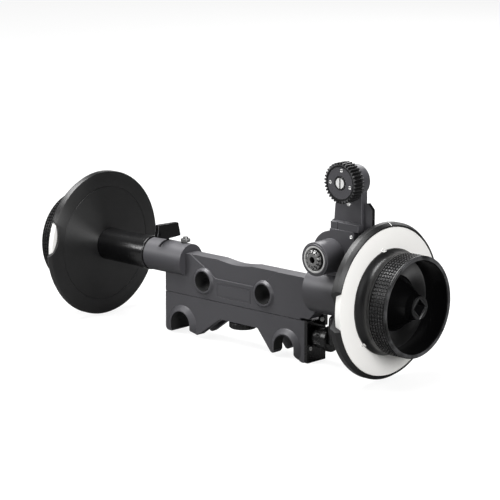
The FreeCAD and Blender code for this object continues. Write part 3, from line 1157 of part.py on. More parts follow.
def arm_rear_cover():
    """Thin cover over the gear train, let into the back of the arm."""
    hole = rod_y(JOURNAL_RADIUS + FREE_GAP, ARM_BACK_Y - ARM_WALL - PAST, ARM_BACK_Y + PAST, PIVOT_X, PIVOT_Z)
    return rear_cover(0.0, 0.0).cut(hole)


def idler_pins():
    """Pins on which the idler wheels' bushes turn."""
    pins = []
    for position in range(1, ARM_GEAR_STEPS):
        x, z = arm_point(position * ARM_STEP)
        pins.append(rod_y(IDLER_PIN_RADIUS, GEAR_PLANE_Y - FREE_GAP, ARM_BACK_Y - ARM_WALL, x, z))
    return Part.makeCompound(pins)


def idler_bush(position):
    """Floating bush between an idler wheel and its pin."""
    x, z = arm_point(position * ARM_STEP)
    inner = IDLER_PIN_RADIUS + RUNNING_GAP
    return tube_y(inner + BUSH_WALL, inner, GEAR_PLANE_Y + BUSH_END_GAP,
                  GEAR_PLANE_Y + ARM_GEAR_WIDTH - BUSH_END_GAP,
                  x, z)


def drive_bush():
    """Floating bush between the drive spindle and the arm's head."""
    y0 = LENS_GEAR_FRONT_Y + LENS_GEAR_WIDTH + HEAD_GAP + BUSH_END_GAP
    return tube_y(DRIVE_BORE_RADIUS - RUNNING_GAP, DRIVE_SPINDLE_RADIUS + RUNNING_GAP, y0,
                  GEAR_PLANE_Y - FREE_GAP,
                  GEAR_X, GEAR_Z)


def clamp_bar():
    """Bar across the foot of the arm, with a narrow end piece divided by a groove."""
    front = BRACKET_FRONT_Y + CLAMP_BAR_SUNK
    bar = block(PIVOT_X - CLAMP_BAR_LEFT, PIVOT_X + CLAMP_BAR_RIGHT, front, ARM_FRONT_Y, BRACKET_TOP_Z,
                BRACKET_TOP_Z + CLAMP_BAR_HEIGHT)
    groove_x = PIVOT_X + CLAMP_BAR_GROOVE_X
    return bar.cut(block(groove_x, groove_x + CLAMP_BAR_GROOVE_WIDTH, front - PAST,
                         front + CLAMP_BAR_GROOVE_DEPTH,
                         BRACKET_TOP_Z - PAST, BRACKET_TOP_Z + CLAMP_BAR_HEIGHT + PAST))


def arm_lever():
    """Thumb lever at the arm's side with a chamfered top, pivoted at its foot."""
    x0, x1 = THUMB_LEVER_X, THUMB_LEVER_X + THUMB_LEVER_WIDTH
    foot, corner = PIVOT_Z + THUMB_LEVER_LOW, THUMB_LEVER_CORNER
    blade = plate_y([(x0, foot, corner), (x0, PIVOT_Z + THUMB_LEVER_TOP, corner),
                     (x0 + THUMB_LEVER_PEAK_X, PIVOT_Z + THUMB_LEVER_PEAK, corner),
                     (x1, PIVOT_Z + THUMB_LEVER_SHOULDER, corner), (x1, foot, corner)],
                    THUMB_LEVER_FRONT_Y, THUMB_LEVER_FRONT_Y + THUMB_LEVER_THICKNESS)
    return blade.cut(rod_x(LEVER_PIN_RADIUS + RUNNING_GAP, x0 - PAST, x1 + PAST, THUMB_LEVER_PIN_Y,
                           THUMB_LEVER_PIN_Z))


def arm_lever_pin():
    """Headed pin that carries the thumb lever, set into the side of the arm's foot."""
    y, z = THUMB_LEVER_PIN_Y, THUMB_LEVER_PIN_Z
    end = THUMB_LEVER_X + THUMB_LEVER_WIDTH + BUSH_END_GAP
    return fuse(rod_x(LEVER_PIN_RADIUS, PIVOT_X + ARM_RIGHT, end + LEVER_PIN_HEAD_LENGTH / 2, y, z),
                rod_x(LEVER_PIN_HEAD_RADIUS, end, end + LEVER_PIN_HEAD_LENGTH, y, z))


def retaining_ring_radius():
    """Outer radius of the ring in the mouth of the pivot barrel."""
    return PIVOT_BARREL_RADIUS - RETAINING_RING_WALL


def pivot_ring():
    """Bright retaining ring screwed into the mouth of the pivot barrel."""
    y0, y1 = PIVOT_FRONT_Y, PIVOT_FRONT_Y + RETAINING_RING_LENGTH
    outer, bevel = retaining_ring_radius(), RETAINING_RING_BEVEL
    return turned([(y0 + 2 * bevel, RETAINING_RING_BORE), (y0, RETAINING_RING_MOUTH), (y0, outer - bevel),
                   (y0 + bevel, outer), (y1, outer), (y1, RETAINING_RING_BORE)], "y", (PIVOT_X, PIVOT_Z))


def pivot_nut():
    """Castle nut on the end of the journal, with a narrower nose that stands out of the ring."""
    y0 = PIVOT_FRONT_Y - NUT_PROUD
    edge = NUT_NOSE_EDGE
    shape = turned([(y0, NUT_BORE), (y0, NUT_NOSE_RADIUS - edge), (y0 + edge, NUT_NOSE_RADIUS),
                    (y0 + NUT_NOSE_LENGTH - edge, NUT_NOSE_RADIUS), (y0 + NUT_NOSE_LENGTH, NUT_RADIUS),
                    (JOURNAL_FRONT_Y, NUT_RADIUS), (JOURNAL_FRONT_Y, NUT_BORE)], "y", (PIVOT_X, PIVOT_Z))
    for number in range(NUT_NOTCH_COUNT):
        notch = block(PIVOT_X - NUT_NOTCH_HALF_WIDTH, PIVOT_X + NUT_NOTCH_HALF_WIDTH, y0 - PAST,
                      y0 + NUT_NOTCH_DEPTH,
                      PIVOT_Z + NUT_NOTCH_FLOOR, PIVOT_Z + NUT_RADIUS + PAST)
        notch.rotate(vec(PIVOT_X, 0, PIVOT_Z), Y_AXIS, 360.0 * number / NUT_NOTCH_COUNT)
        shape = shape.cut(notch)
    return shape


# ---- locks and knobs ---------------------------------------------------------------------------
def lock_lever():
    """Lever that turns the sleeve's locking ring: a stem through the slot and a thumb plate."""
    stem = rod_z(LEVER_STEM_RADIUS, AXIS_Z + TUBE_BORE_RADIUS + FREE_GAP,
                 AXIS_Z + SLEEVE_RADIUS + LEVER_STEM_ABOVE_SLEEVE, LEVER_X, 0)
    foot = AXIS_Z + SLEEVE_RADIUS + LEVER_ABOVE_SLEEVE
    thumb = plate_x([(y, foot + rise, rounding) for y, rise, rounding in LEVER_OUTLINE],
                    LEVER_X - LEVER_HALF_THICKNESS, LEVER_X + LEVER_HALF_THICKNESS)
    return fuse(stem, thumb)


def lock_ring():
    """Locking ring inside the sleeve, turned by the lever."""
    ring = tube_x(SLEEVE_BORE_RADIUS - RUNNING_GAP, TUBE_BORE_RADIUS, LEVER_X - LOCK_RING_HALF_WIDTH,
                  LEVER_X + LOCK_RING_HALF_WIDTH)
    return ring.cut(rod_z(LEVER_STEM_RADIUS, AXIS_Z, AXIS_Z + SLEEVE_RADIUS, LEVER_X, 0))


def lock_pawl():
    """Sprung index button on top of the sleeve."""
    foot = AXIS_Z + SLEEVE_RADIUS + PAWL_CAP_LIFT
    top = foot + PAWL_CAP_HEIGHT
    stem = rod_z(PAWL_STEM_RADIUS, AXIS_Z + SLEEVE_RADIUS - PAWL_STEM_DEPTH, foot + PAWL_CAP_HEIGHT / 2,
                 PAWL_X,
                 PAWL_Y)
    cap = rod_z(PAWL_CAP_RADIUS, foot, top, PAWL_X, PAWL_Y)
    return fuse(stem, cap, rod_z(PAWL_GRIP_RADIUS, top, top + PAWL_GRIP_HEIGHT, PAWL_X, PAWL_Y))


def rod_clamp_knob():
    """Clamp screw with a grooved barrel, a cross hole and a larger head."""
    x0, x1 = KNOB_X, KNOB_X + CLAMP_BARREL_LENGTH
    x2 = x1 + CLAMP_HEAD_LENGTH
    barrel_radius, head_radius = CLAMP_BARREL_RADIUS, CLAMP_HEAD_RADIUS
    bevel, head_bevel = CLAMP_BARREL_BEVEL, CLAMP_HEAD_BEVEL
    barrel = turned([(x0, 0), (x0, barrel_radius - bevel), (x0 + bevel, barrel_radius), (x1, barrel_radius),
                     (x1, head_radius - head_bevel), (x1 + head_bevel, head_radius),
                     (x2 - head_bevel, head_radius), (x2, head_radius - head_bevel), (x2, 0)],
                    "x", (CLAMP_AXIS_Y, CLAMP_AXIS_Z))
    cross = rod_z(CLAMP_CROSS_HOLE_RADIUS, CLAMP_AXIS_Z - CLAMP_HEAD_RADIUS, CLAMP_AXIS_Z + CLAMP_HEAD_RADIUS,
                  0, 0)
    cross.rotate(vec(0, 0, CLAMP_AXIS_Z), X_AXIS, CLAMP_CROSS_HOLE_DEG)
    cross.translate(vec(x0 + CLAMP_CROSS_HOLE_X, CLAMP_AXIS_Y, 0))
    screw = rod_x(CLAMP_SCREW_RADIUS, JAW_RIGHT - CLAMP_SCREW_GRIP, x0 + PAST, CLAMP_AXIS_Y, CLAMP_AXIS_Z)
    return fuse(barrel.cut(cross), screw)


def clamp_tab():
    """Flat tab on the clamp knob's face, with a hole near its end."""
    x0 = KNOB_X + CLAMP_BARREL_LENGTH + CLAMP_HEAD_LENGTH
    y, z = CLAMP_AXIS_Y, CLAMP_AXIS_Z
    foot, end = z - CLAMP_TAB_FOOT, z + CLAMP_TAB_REACH + CLAMP_TAB_END
    blade = plate_x([(y - CLAMP_TAB_HALF_WIDTH, foot, LEG_CORNER),
                     (y + CLAMP_TAB_HALF_WIDTH, foot, LEG_CORNER),
                     (y + CLAMP_TAB_END_HALF_WIDTH, end, TOE_CORNER),
                     (y - CLAMP_TAB_END_HALF_WIDTH, end, TOE_CORNER)], x0, x0 + CLAMP_TAB_THICKNESS)
    return blade.cut(rod_x(CLAMP_TAB_HOLE_RADIUS, x0 - PAST, x0 + CLAMP_TAB_THICKNESS + PAST, y,
                           z + CLAMP_TAB_REACH))


def adapter_lock_knob():
    """Round knob under the adapter that locks the body on its key."""
    top = ADAPTER_ARCH_HEIGHT - FREE_GAP
    low = top - LOCK_KNOB_HEIGHT
    radius, bevel = LOCK_KNOB_RADIUS, LOCK_KNOB_BEVEL
    knob = turned([(low, 0), (low, radius - bevel), (low + bevel, radius), (top - bevel, radius),
                   (top, radius - bevel), (top, 0)], "z", (0, CLAMP_AXIS_Y))
    reach = radius + LOCK_KNOB_FLUTE_OUT
    cutters = []
    for number in range(LOCK_KNOB_FLUTES):
        turn = 2 * math.pi * number / LOCK_KNOB_FLUTES
        cutters.append(rod_z(LOCK_KNOB_FLUTE_RADIUS, low - PAST, top + PAST, reach * math.cos(turn),
                             CLAMP_AXIS_Y + reach * math.sin(turn)))
    stud = rod_z(LOCK_STUD_RADIUS, top - PAST, SEAM_Z - LOCK_STUD_BELOW_SEAM - FREE_GAP, 0, CLAMP_AXIS_Y)
    return fuse(knob.cut(cutters), stud)


def rod_lock_screws():
    """Set screws below the bores for the 15 mm rods."""
    low, high = SEAM_Z + LOCK_SCREW_SUNK, LIGHT_ROD_Z - LIGHT_BORE_RADIUS - FREE_GAP
    screws = []
    for x in (-LIGHT_ROD_SPACING / 2, LIGHT_ROD_SPACING / 2):
        socket = rod_z(LOCK_SCREW_SOCKET_RADIUS, low - PAST, low + LOCK_SCREW_SOCKET_DEPTH, x, 0)
        screws.append(rod_z(LOCK_SCREW_RADIUS, low, high, x, 0).cut(socket))
    return Part.makeCompound(screws)


def build():
    """Every node of the follow focus by name."""
    nodes = {
        "main_body": main_body(),
        "rod_lock_screws": rod_lock_screws(),
        "dovetail_key": dovetail_key(),
        "bridge_adapter": bridge_adapter(),
        "adapter_end_block": end_block(),
        "stop_bracket": stop_bracket(),
        "bracket_screw": bracket_screw(),
        "coupling_sleeve": coupling_sleeve(),
        "extension_tube": extension_tube(),
        "spacer_ring": spacer_ring(),
        "shaft_bearings": shaft_bearings(),
        "gear_housing": gear_housing(),
        "drum_cover": drum_cover(),
        "cover_screws": cover_screws(),
        "pivot_journal": pivot_journal(),
        "near_handwheel": handwheel(NEAR_FACE_X, 1),
        "far_handwheel": handwheel(FAR_FACE_X, -1),
        "near_marking_ring": marking_ring(NEAR_FACE_X, 1),
        "far_marking_ring": marking_ring(FAR_FACE_X, -1),
        "near_ring_clips": ring_clips(NEAR_FACE_X, 1),
        "far_ring_clips": ring_clips(FAR_FACE_X, -1),
        "near_crank_socket": crank_socket(NEAR_FACE_X, 1),
        "far_crank_socket": crank_socket(FAR_FACE_X, -1),
        "main_shaft": main_shaft(),
        "extension_shaft": extension_shaft(),
        "shaft_coupling": shaft_coupling(),
        "shaft_gear": shaft_gear(),
        "near_index_dish": index_dish(NEAR_FACE_X, 1, NEAR_NOTCH_ANGLE, DISH_SEAT_RADIUS),
        "far_index_dish": index_dish(FAR_FACE_X, -1, FAR_NOTCH_ANGLE, FAR_SEAT_RADIUS),
        "output_gear": output_gear(),
        "output_shaft": output_shaft(),
        "sun_gear": sun_gear(),
        "swing_arm": swing_arm(),
        "arm_rear_cover": arm_rear_cover(),
        "idler_pins": idler_pins(),
        "drive_bush": drive_bush(),
        "drive_wheel": arm_wheel(ARM_GEAR_STEPS, DRIVE_SPINDLE_RADIUS),
        "drive_spindle": drive_spindle(),
        "lens_gear": lens_gear(),
        "gear_face_plate": face_plate(),
        "face_plate_screws": face_screws(),
        "centre_screw": centre_screw(),
        "arm_clamp_bar": clamp_bar(),
        "arm_lever": arm_lever(),
        "arm_lever_pin": arm_lever_pin(),
        "pivot_ring": pivot_ring(),
        "pivot_nut": pivot_nut(),
        "lock_lever": lock_lever(),
        "lock_ring": lock_ring(),
        "lock_pawl": lock_pawl(),
        "rod_clamp_knob": rod_clamp_knob(),
        "clamp_tab": clamp_tab(),
        "rod_clamp_jaw": rod_clamp_jaw(),
        "adapter_lock_knob": adapter_lock_knob(),
    }
    idler_bore = IDLER_PIN_RADIUS + 2 * RUNNING_GAP + BUSH_WALL
    for position in range(1, ARM_GEAR_STEPS):
        nodes["idler_bush_%d" % position] = idler_bush(position)
        nodes["idler_gear_%d" % position] = arm_wheel(position, idler_bore)
    return nodes


def main():
    os.makedirs("parts", exist_ok=True)
    for name, shape in build().items():
        shape.exportStep("parts/" + name + ".step")


main()
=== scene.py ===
"""Dressed model of a two-sided follow focus on a bridge adapter.

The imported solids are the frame. Each sub-assembly below refines the solids that it owns, builds the pieces
that they leave out, such as the knurled grips and the screws, and gives every surface its finish.
Lengths are in millimetres and become metres where a mesh is made. +X runs along the handwheel shaft to the
near handwheel, -Y is the front with the lens gear, +Z is up.
"""

from __future__ import annotations

import json
import logging
import math
from collections.abc import Iterable, Sequence
from dataclasses import dataclass, replace
from enum import Enum

import bmesh
import bpy
from mathutils import Matrix, Vector

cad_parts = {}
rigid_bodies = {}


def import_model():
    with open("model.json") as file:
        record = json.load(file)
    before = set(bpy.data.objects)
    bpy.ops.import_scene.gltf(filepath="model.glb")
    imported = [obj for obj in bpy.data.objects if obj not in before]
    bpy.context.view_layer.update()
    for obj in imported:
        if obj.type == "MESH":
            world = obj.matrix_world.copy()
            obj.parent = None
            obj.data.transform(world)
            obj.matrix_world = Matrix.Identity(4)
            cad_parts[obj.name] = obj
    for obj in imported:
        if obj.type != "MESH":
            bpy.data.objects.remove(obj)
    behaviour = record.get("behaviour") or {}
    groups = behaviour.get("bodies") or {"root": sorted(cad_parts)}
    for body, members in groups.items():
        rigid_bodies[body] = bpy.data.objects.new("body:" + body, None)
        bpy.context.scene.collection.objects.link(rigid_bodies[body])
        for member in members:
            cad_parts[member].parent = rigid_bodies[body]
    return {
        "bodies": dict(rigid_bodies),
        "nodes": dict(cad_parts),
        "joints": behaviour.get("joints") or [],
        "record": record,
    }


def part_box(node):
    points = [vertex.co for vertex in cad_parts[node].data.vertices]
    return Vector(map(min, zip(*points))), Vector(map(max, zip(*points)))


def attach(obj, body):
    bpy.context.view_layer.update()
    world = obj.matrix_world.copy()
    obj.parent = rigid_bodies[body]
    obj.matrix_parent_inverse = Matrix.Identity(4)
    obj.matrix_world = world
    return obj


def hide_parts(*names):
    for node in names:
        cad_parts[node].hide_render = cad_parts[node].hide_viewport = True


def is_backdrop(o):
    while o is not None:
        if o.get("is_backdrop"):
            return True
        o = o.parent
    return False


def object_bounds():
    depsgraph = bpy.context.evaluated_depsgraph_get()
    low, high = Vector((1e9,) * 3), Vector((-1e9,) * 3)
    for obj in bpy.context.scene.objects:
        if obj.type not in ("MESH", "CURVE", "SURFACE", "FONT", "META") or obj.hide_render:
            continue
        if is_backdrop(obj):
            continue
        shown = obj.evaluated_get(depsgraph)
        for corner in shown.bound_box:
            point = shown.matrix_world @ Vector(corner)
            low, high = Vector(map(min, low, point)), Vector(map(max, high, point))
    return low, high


LOG = logging.getLogger("follow_focus")

MM = 0.001
TURN = 2 * math.pi
SHAFT_HEIGHT = 47.65
PIVOT = (101.4, 76.45)
GEAR_AXIS = (115.516, 130.642)
CLAMP_AXIS = (4.4, 10.0)
# Face attribute that marks the rounded edges and caps that turn lighter: partly from handling, partly a
# painted highlight.
EDGE_ATTRIBUTE = "edge_wear"
GRAIN_MAP = "lathe_grain"
HARD_DEG = 32.0
FLAT_DEG = 0.4
MERGE_DISTANCE = 2e-6
NORMAL_WEIGHT = 80
SMALL_ROUND, ROUND, LARGE_ROUND = 40, 96, 256
SQUARE = ((-1, -1), (1, -1), (1, 1), (-1, 1))
STUD_FOOT, STUD_CROWN = 0.46, 0.22

# Cells per metre of the noises and of the lathe's lines, and the lean of those lines along the axis.
GRAIN_SCALE, FINE_SCALE, BROAD_SCALE, PATCH_SCALE, HAZE_SCALE = 2500.0, 900.0, 180.0, 110.0, 260.0
LATHE_LINES, LATHE_LEAN = 2500.0, 0.83
# Noise level above which an edge turns lighter, from handling and as a painted highlight, and how fast it
# sets in.
EDGE_LIGHTEN_START, EDGE_LIGHTEN_GAIN = 0.36, 3.2
GLOSS_DRIFT = 0.05
# How far a bore's wall may lie outside its radius, in millimetres, to take painted shade, and the normal of a
# face that looks down.
BORE_MARGIN, DOWNWARD = 0.12, -0.999
PURE_WHITE = (1.0, 1.0, 1.0, 1.0)

Colour = tuple[float, float, float]
Profile = Sequence[tuple[float, float]]
Mesh = bmesh.types.BMesh
Piece = bpy.types.Object
Socket = bpy.types.NodeSocket


class Side(Enum):
    """The two ends of the handwheel shaft, as the sign of their direction along X."""

    NEAR = 1
    FAR = -1

    @property
    def word(self) -> str:
        """The word that starts the names of this side's pieces."""
        return self.name.lower()


class Lathe(Enum):
    """Axis about which a surface was turned, as its angle from X about Z, or none."""

    NONE = None
    ALONG_X = 0.0
    ALONG_Y = math.pi / 2


# ---- meshes ------------------------------------------------------------------------------------
def smooth(mesh: bpy.types.Mesh, hard_deg: float) -> None:
    """Shades a mesh smooth except at edges that turn by more than the given degrees."""
    mesh.shade_smooth()
    mesh.set_sharp_from_angle(angle=math.radians(hard_deg))


def to_object(name: str, bm: Mesh, hard_deg: float = HARD_DEG) -> Piece:
    """Turns a mesh into a linked object, smooth except at its hard edges.

    Args:
        name: Name of the piece.
        bm: The mesh, which is freed.
        hard_deg: Edges that turn by more than this many degrees stay hard.

    Returns:
        The new object, at the origin.
    """
    mesh = bpy.data.meshes.new(name)
    bm.to_mesh(mesh)
    bm.free()
    smooth(mesh, hard_deg)
    made = bpy.data.objects.new(name, mesh)
    bpy.context.scene.collection.objects.link(made)
    return made


def settle(made: Piece) -> Piece:
    """Replaces an object's mesh by what its modifiers make of it, and returns the object.

    Args:
        made: The object.

    Returns:
        The same object.
    """
    graph = bpy.context.evaluated_depsgraph_get()
    mesh = bpy.data.meshes.new_from_object(made.evaluated_get(graph), depsgraph=graph)
    made.modifiers.clear()
    old = made.data
    made.data = mesh
    mesh.name = made.name
    bpy.data.meshes.remove(old)
    return made


def turned(profile: Profile, segments: int) -> Mesh:
    """Solid of revolution about the local Z axis, with a map whose U runs along the profile.

    Args:
        profile: Closed outline of (height, radius) points in millimetres; a radius of zero is a pole.
        segments: Steps around the axis.

    Returns:
        The mesh, in metres, with its faces outwards.
    """
    bm = bmesh.new()
    grain = bm.loops.layers.uv.new(GRAIN_MAP)
    angles = [TURN * k / segments for k in range(segments)]
    rings = [[bm.verts.new((radius * MM * math.cos(a), radius * MM * math.sin(a), height * MM))
              for a in (angles if radius > 0 else angles[:1])] for height, radius in profile]
    for row, (lower, upper) in enumerate(zip(rings, rings[1:] + rings[:1])):
        if len(lower) == 1 and len(upper) == 1:
            continue
        for k in range(segments):
            following = (k + 1) % segments
            corners = [(lower[k % len(lower)], (0, 0)), (lower[following % len(lower)], (0, 1)),
                       (upper[following % len(upper)], (1, 1)), (upper[k % len(upper)], (1, 0))]
            unique = dict(reversed(corners))
            face = bm.faces.new(reversed(unique))
            for loop in face.loops:
                step, turn = unique[loop.vert]
                loop[grain].uv = ((row + step) / len(rings), (k + turn) / segments)
    bmesh.ops.recalc_face_normals(bm, faces=bm.faces)
    return bm


def loft(rings: Iterable[Iterable[Sequence[float]]], end_wear_and_highlight: tuple[float, float] = (0.0, 0.0)) -> Mesh:
    """Closed skin through rings of equally many points, capped at both ends.

    Args:
        rings: The rings' points in millimetres.
        end_wear_and_highlight: Wear of the first and the last cap, which is also a painted highlight.

    Returns:
        The mesh, in metres, with its faces outwards.
    """
    bm = bmesh.new()
    layer = bm.faces.layers.float.new(EDGE_ATTRIBUTE) if any(end_wear_and_highlight) else None
    made = [[bm.verts.new(Vector(point) * MM) for point in ring] for ring in rings]
    for lower, upper in zip(made, made[1:]):
        for k in range(len(lower)):
            following = (k + 1) % len(lower)
            bm.faces.new((lower[k], lower[following], upper[following], upper[k]))
    for ring, wear in ((made[0][::-1], end_wear_and_highlight[0]), (made[-1], end_wear_and_highlight[1])):
        cap = bm.faces.new(ring)
        if layer:
            cap[layer] = wear
    bmesh.ops.recalc_face_normals(bm, faces=bm.faces)
    return bm


def slab(low: Sequence[float], high: Sequence[float]) -> Mesh:
    """Box between two corners in millimetres, as a mesh in metres.

    Args:
        low: Its lowest corner.
        high: Its highest corner.

    Returns:
        The mesh.
    """
    bm = bmesh.new()
    bmesh.ops.create_cube(bm, size=1.0)
    for vert in bm.verts:
        vert.co = Vector([(l + (h - l) * (c + 0.5)) * MM for l, h, c in zip(low, high, vert.co)])
    return bm


def stud(radii: tuple[float, float], start: float, pitch: float, around: float, wear: float = 0.0) -> Mesh:
    """One blunt knurl stud on a barrel about Z.

    Args:
        radii: Distance of its foot and of its crown from the axis, in millimetres.
        start: Height of its middle.
        pitch: Height of one stud's field.
        around: Width of one stud's field.
        wear: Wear of its crown, which is also a painted highlight on the stud's top.

    Returns:
        The stud's mesh.
    """
    rings = [[(radius, v * share * around, start + u * share * pitch) for u, v in SQUARE]
             for radius, share in zip(radii, (STUD_FOOT, STUD_CROWN))]
    return loft(rings, (0.0, wear))


def soften(bm: Mesh, width: float, steps: int = 2) -> None:
    """Rounds the hard edges of a mesh and marks the rounded strips to turn lighter, from handling and as a
    painted highlight.

    Args:
        bm: The mesh, changed in place.
        width: Width of the rounding in millimetres.
        steps: Faces across each rounding.
    """
    layer = bm.faces.layers.float.get(EDGE_ATTRIBUTE) or bm.faces.layers.float.new(EDGE_ATTRIBUTE)
    limit = math.radians(HARD_DEG)
    hard = [e for e in bm.edges if len(e.link_faces) == 2 and e.calc_face_angle(0.0) > limit]
    made = bmesh.ops.bevel(bm, geom=hard, offset=width * MM, offset_type="OFFSET", segments=steps,
                           profile=0.5, affect="EDGES", clamp_overlap=True)
    for face in made["faces"]:
        face[layer] = 1.0


def stand(axis: Sequence[float], foot: Sequence[float]) -> Matrix:
    """Places a part turned about Z so that it stands along X or Y, its zero angle upwards.

    Args:
        axis: Direction of the part's own Z axis.
        foot: Place of the part's own origin in millimetres.

    Returns:
        The matrix, in metres.
    """
    ahead, up = Vector(axis), Vector((0, 0, 1))
    turn = Matrix((up, ahead.cross(up), ahead)).transposed().to_4x4()
    return Matrix.Translation(Vector(foot) * MM) @ turn


def carve(made: Piece, cutter: Mesh) -> Piece:
    """Cuts a shape, which is freed, out of a piece and returns the piece.

    Args:
        made: The piece.
        cutter: The shape.

    Returns:
        The same piece.
    """
    tool = to_object(made.name + "_tool", cutter)
    difference = made.modifiers.new("carve", "BOOLEAN")
    difference.operation = "DIFFERENCE"
    difference.solver = "EXACT"
    difference.object = tool
    settle(made)
    mesh = tool.data
    bpy.data.objects.remove(tool)
    bpy.data.meshes.remove(mesh)
    return made


def reshaped(made: Piece, width: float, steps: int = 2) -> Piece:
    """Cleans a piece, rounds its hard edges, keeps flat faces flat beside them and returns it.

    Args:
        made: The piece.
        width: Width of the rounding in millimetres.
        steps: Faces across each rounding.

    Returns:
        The same piece.
    """
    bm = bmesh.new()
    bm.from_mesh(made.data)
    bmesh.ops.remove_doubles(bm, verts=bm.verts, dist=MERGE_DISTANCE)
    bmesh.ops.dissolve_degenerate(bm, edges=bm.edges, dist=MERGE_DISTANCE / 2)
    bmesh.ops.dissolve_limit(bm, angle_limit=math.radians(FLAT_DEG), verts=bm.verts, edges=bm.edges)
    soften(bm, width, steps)
    bm.to_mesh(made.data)
    bm.free()
    smooth(made.data, HARD_DEG)
    weighted = made.modifiers.new("weighted", "WEIGHTED_NORMAL")
    weighted.keep_sharp = True
    weighted.weight = NORMAL_WEIGHT
    return settle(made)


def join(pieces: Iterable[Mesh]) -> Mesh:
    """Several meshes as one; the given ones are freed.

    Args:
        pieces: The meshes.

    Returns:
        The joined mesh.
    """
    whole = bmesh.new()
    for piece in pieces:
        part = bpy.data.meshes.new("part")
        piece.to_mesh(part)
        piece.free()
        whole.from_mesh(part)
        bpy.data.meshes.remove(part)
    return whole


# ---- node trees --------------------------------------------------------------------------------
class Wiring:
    """Adds nodes to one tree and links them."""

    def __init__(self, tree: bpy.types.NodeTree) -> None:
        """Takes the tree to work in."""
        self.tree = tree

    @classmethod
    def group(cls, kind: str, name: str, inputs: dict[str, str], outputs: dict[str, str]
              ) -> tuple[Wiring, Sequence[Socket], Sequence[Socket]]:
        """Starts a node group.

        Args:
            kind: Type of the tree.
            name: Name of the group.
            inputs: Name and socket type of each input.
            outputs: Name and socket type of each output.

        Returns:
            The wiring, the sockets that bring the inputs in and those that take the outputs.
        """
        tree = bpy.data.node_groups.new(name, kind)
        for way, sockets in (("INPUT", inputs), ("OUTPUT", outputs)):
            for label, sort in sockets.items():
                tree.interface.new_socket(label, in_out=way, socket_type="NodeSocket" + sort)
        wire = cls(tree)
        return wire, wire.add("NodeGroupInput").outputs, wire.add("NodeGroupOutput").inputs

    def feed(self, socket: Socket, given: object) -> None:
        """Links a socket to another one, or sets its value.

        Args:
            socket: The input.
            given: The output to link it to, or its value.
        """
        if isinstance(given, Socket):
            self.tree.links.new(given, socket)
        else:
            socket.default_value = given

    def add(self, kind: str, inputs: dict[str | int, object] | None = None,
            **settings: object) -> bpy.types.Node:
        """Adds a node.

        Args:
            kind: Type of the node.
            inputs: A socket or a value for each input to feed.
            **settings: The node's properties.

        Returns:
            The node.
        """
        node = self.tree.nodes.new(kind)
        for key, value in settings.items():
            setattr(node, key, value)
        for key, given in (inputs or {}).items():
            self.feed(node.inputs[key], given)
        return node

    def maths(self, operation: str, *given: object, clamp: bool = False) -> Socket:
        """Output of a maths node fed by sockets or numbers."""
        node = self.add("ShaderNodeMath", dict(enumerate(given)), operation=operation, use_clamp=clamp)
        return node.outputs[0]

    def noise(self, vector: Socket, scale: object, detail: float) -> Socket:
        """Value of a noise texture."""
        node = self.add("ShaderNodeTexNoise", {"Vector": vector, "Scale": scale, "Detail": detail})
        return node.outputs["Fac"]

    def scaled(self, colour: Socket, factor: Socket) -> Socket:
        """A colour made lighter or darker."""
        return self.add("ShaderNodeVectorMath", {0: colour, "Scale": factor}, operation="SCALE").outputs[0]

    def mixed(self, colour: Socket, other: Colour, mask: Socket) -> Socket:
        """A colour, replaced by another where the mask is one."""
        return self.add("ShaderNodeMix", {0: mask, 6: colour, 7: (*other, 1.0)}, data_type="RGBA").outputs[2]


class RingArray:
    """A Geometry Nodes tree that repeats a shape around the local Z axis, in one or more rows."""

    def __init__(self) -> None:
        """Builds the tree once: points, a turned copy on each, real geometry, finish."""
        wire, given, result = Wiring.group("GeometryNodeTree", "ring_array", {
            "Shape": "Geometry", "Count around": "Int", "Rows": "Int", "Row pitch": "Float",
            "Start angle": "Float", "Finish": "Material"}, {"Result": "Geometry"})
        self.tree = wire.tree
        count, index = given["Count around"], wire.add("GeometryNodeInputIndex").outputs[0]
        row = wire.maths("FLOOR", wire.maths("DIVIDE", index, count))
        share = wire.maths("DIVIDE", wire.maths("MODULO", index, count), count)
        angle = wire.maths("ADD", wire.maths("MULTIPLY", share, TURN), given["Start angle"])
        place = wire.add("ShaderNodeCombineXYZ", {"Z": wire.maths("MULTIPLY", row, given["Row pitch"])})
        turn = wire.add("ShaderNodeCombineXYZ", {"Z": angle})
        points = wire.add("GeometryNodePoints", {"Count": wire.maths("MULTIPLY", count, given["Rows"]),
                                                 "Position": place.outputs[0]})
        copies = wire.add("GeometryNodeInstanceOnPoints", {
            "Points": points.outputs[0], "Instance": given["Shape"], "Rotation": turn.outputs[0]})
        real = wire.add("GeometryNodeRealizeInstances", {0: copies.outputs[0]})
        dressed = wire.add("GeometryNodeSetMaterial", {
            "Geometry": real.outputs[0], "Material": given["Finish"]})
        wire.feed(result[0], dressed.outputs[0])

    def repeat(self, made: Piece, finish: bpy.types.Material, count: int, rows: int = 1, pitch: float = 0.0,
               start_deg: float = 0.0) -> Piece:
        """Repeats an object's mesh around the local Z axis.

        Args:
            made: Object with one copy, away from the axis.
            finish: Material of the copies.
            count: Copies around.
            rows: Rows along the axis.
            pitch: Distance between rows in millimetres.
            start_deg: Angle of the first copy.

        Returns:
            The same object, its mesh now all copies.
        """
        modifier = made.modifiers.new("repeat", "NODES")
        modifier.node_group = self.tree
        values = {"Count around": count, "Rows": rows, "Row pitch": pitch * MM,
                  "Start angle": math.radians(start_deg), "Finish": finish}
        for item in self.tree.interface.items_tree:
            if item.name in values and item.in_out == "INPUT":
                modifier[item.identifier] = values[item.name]
        return settle(made)


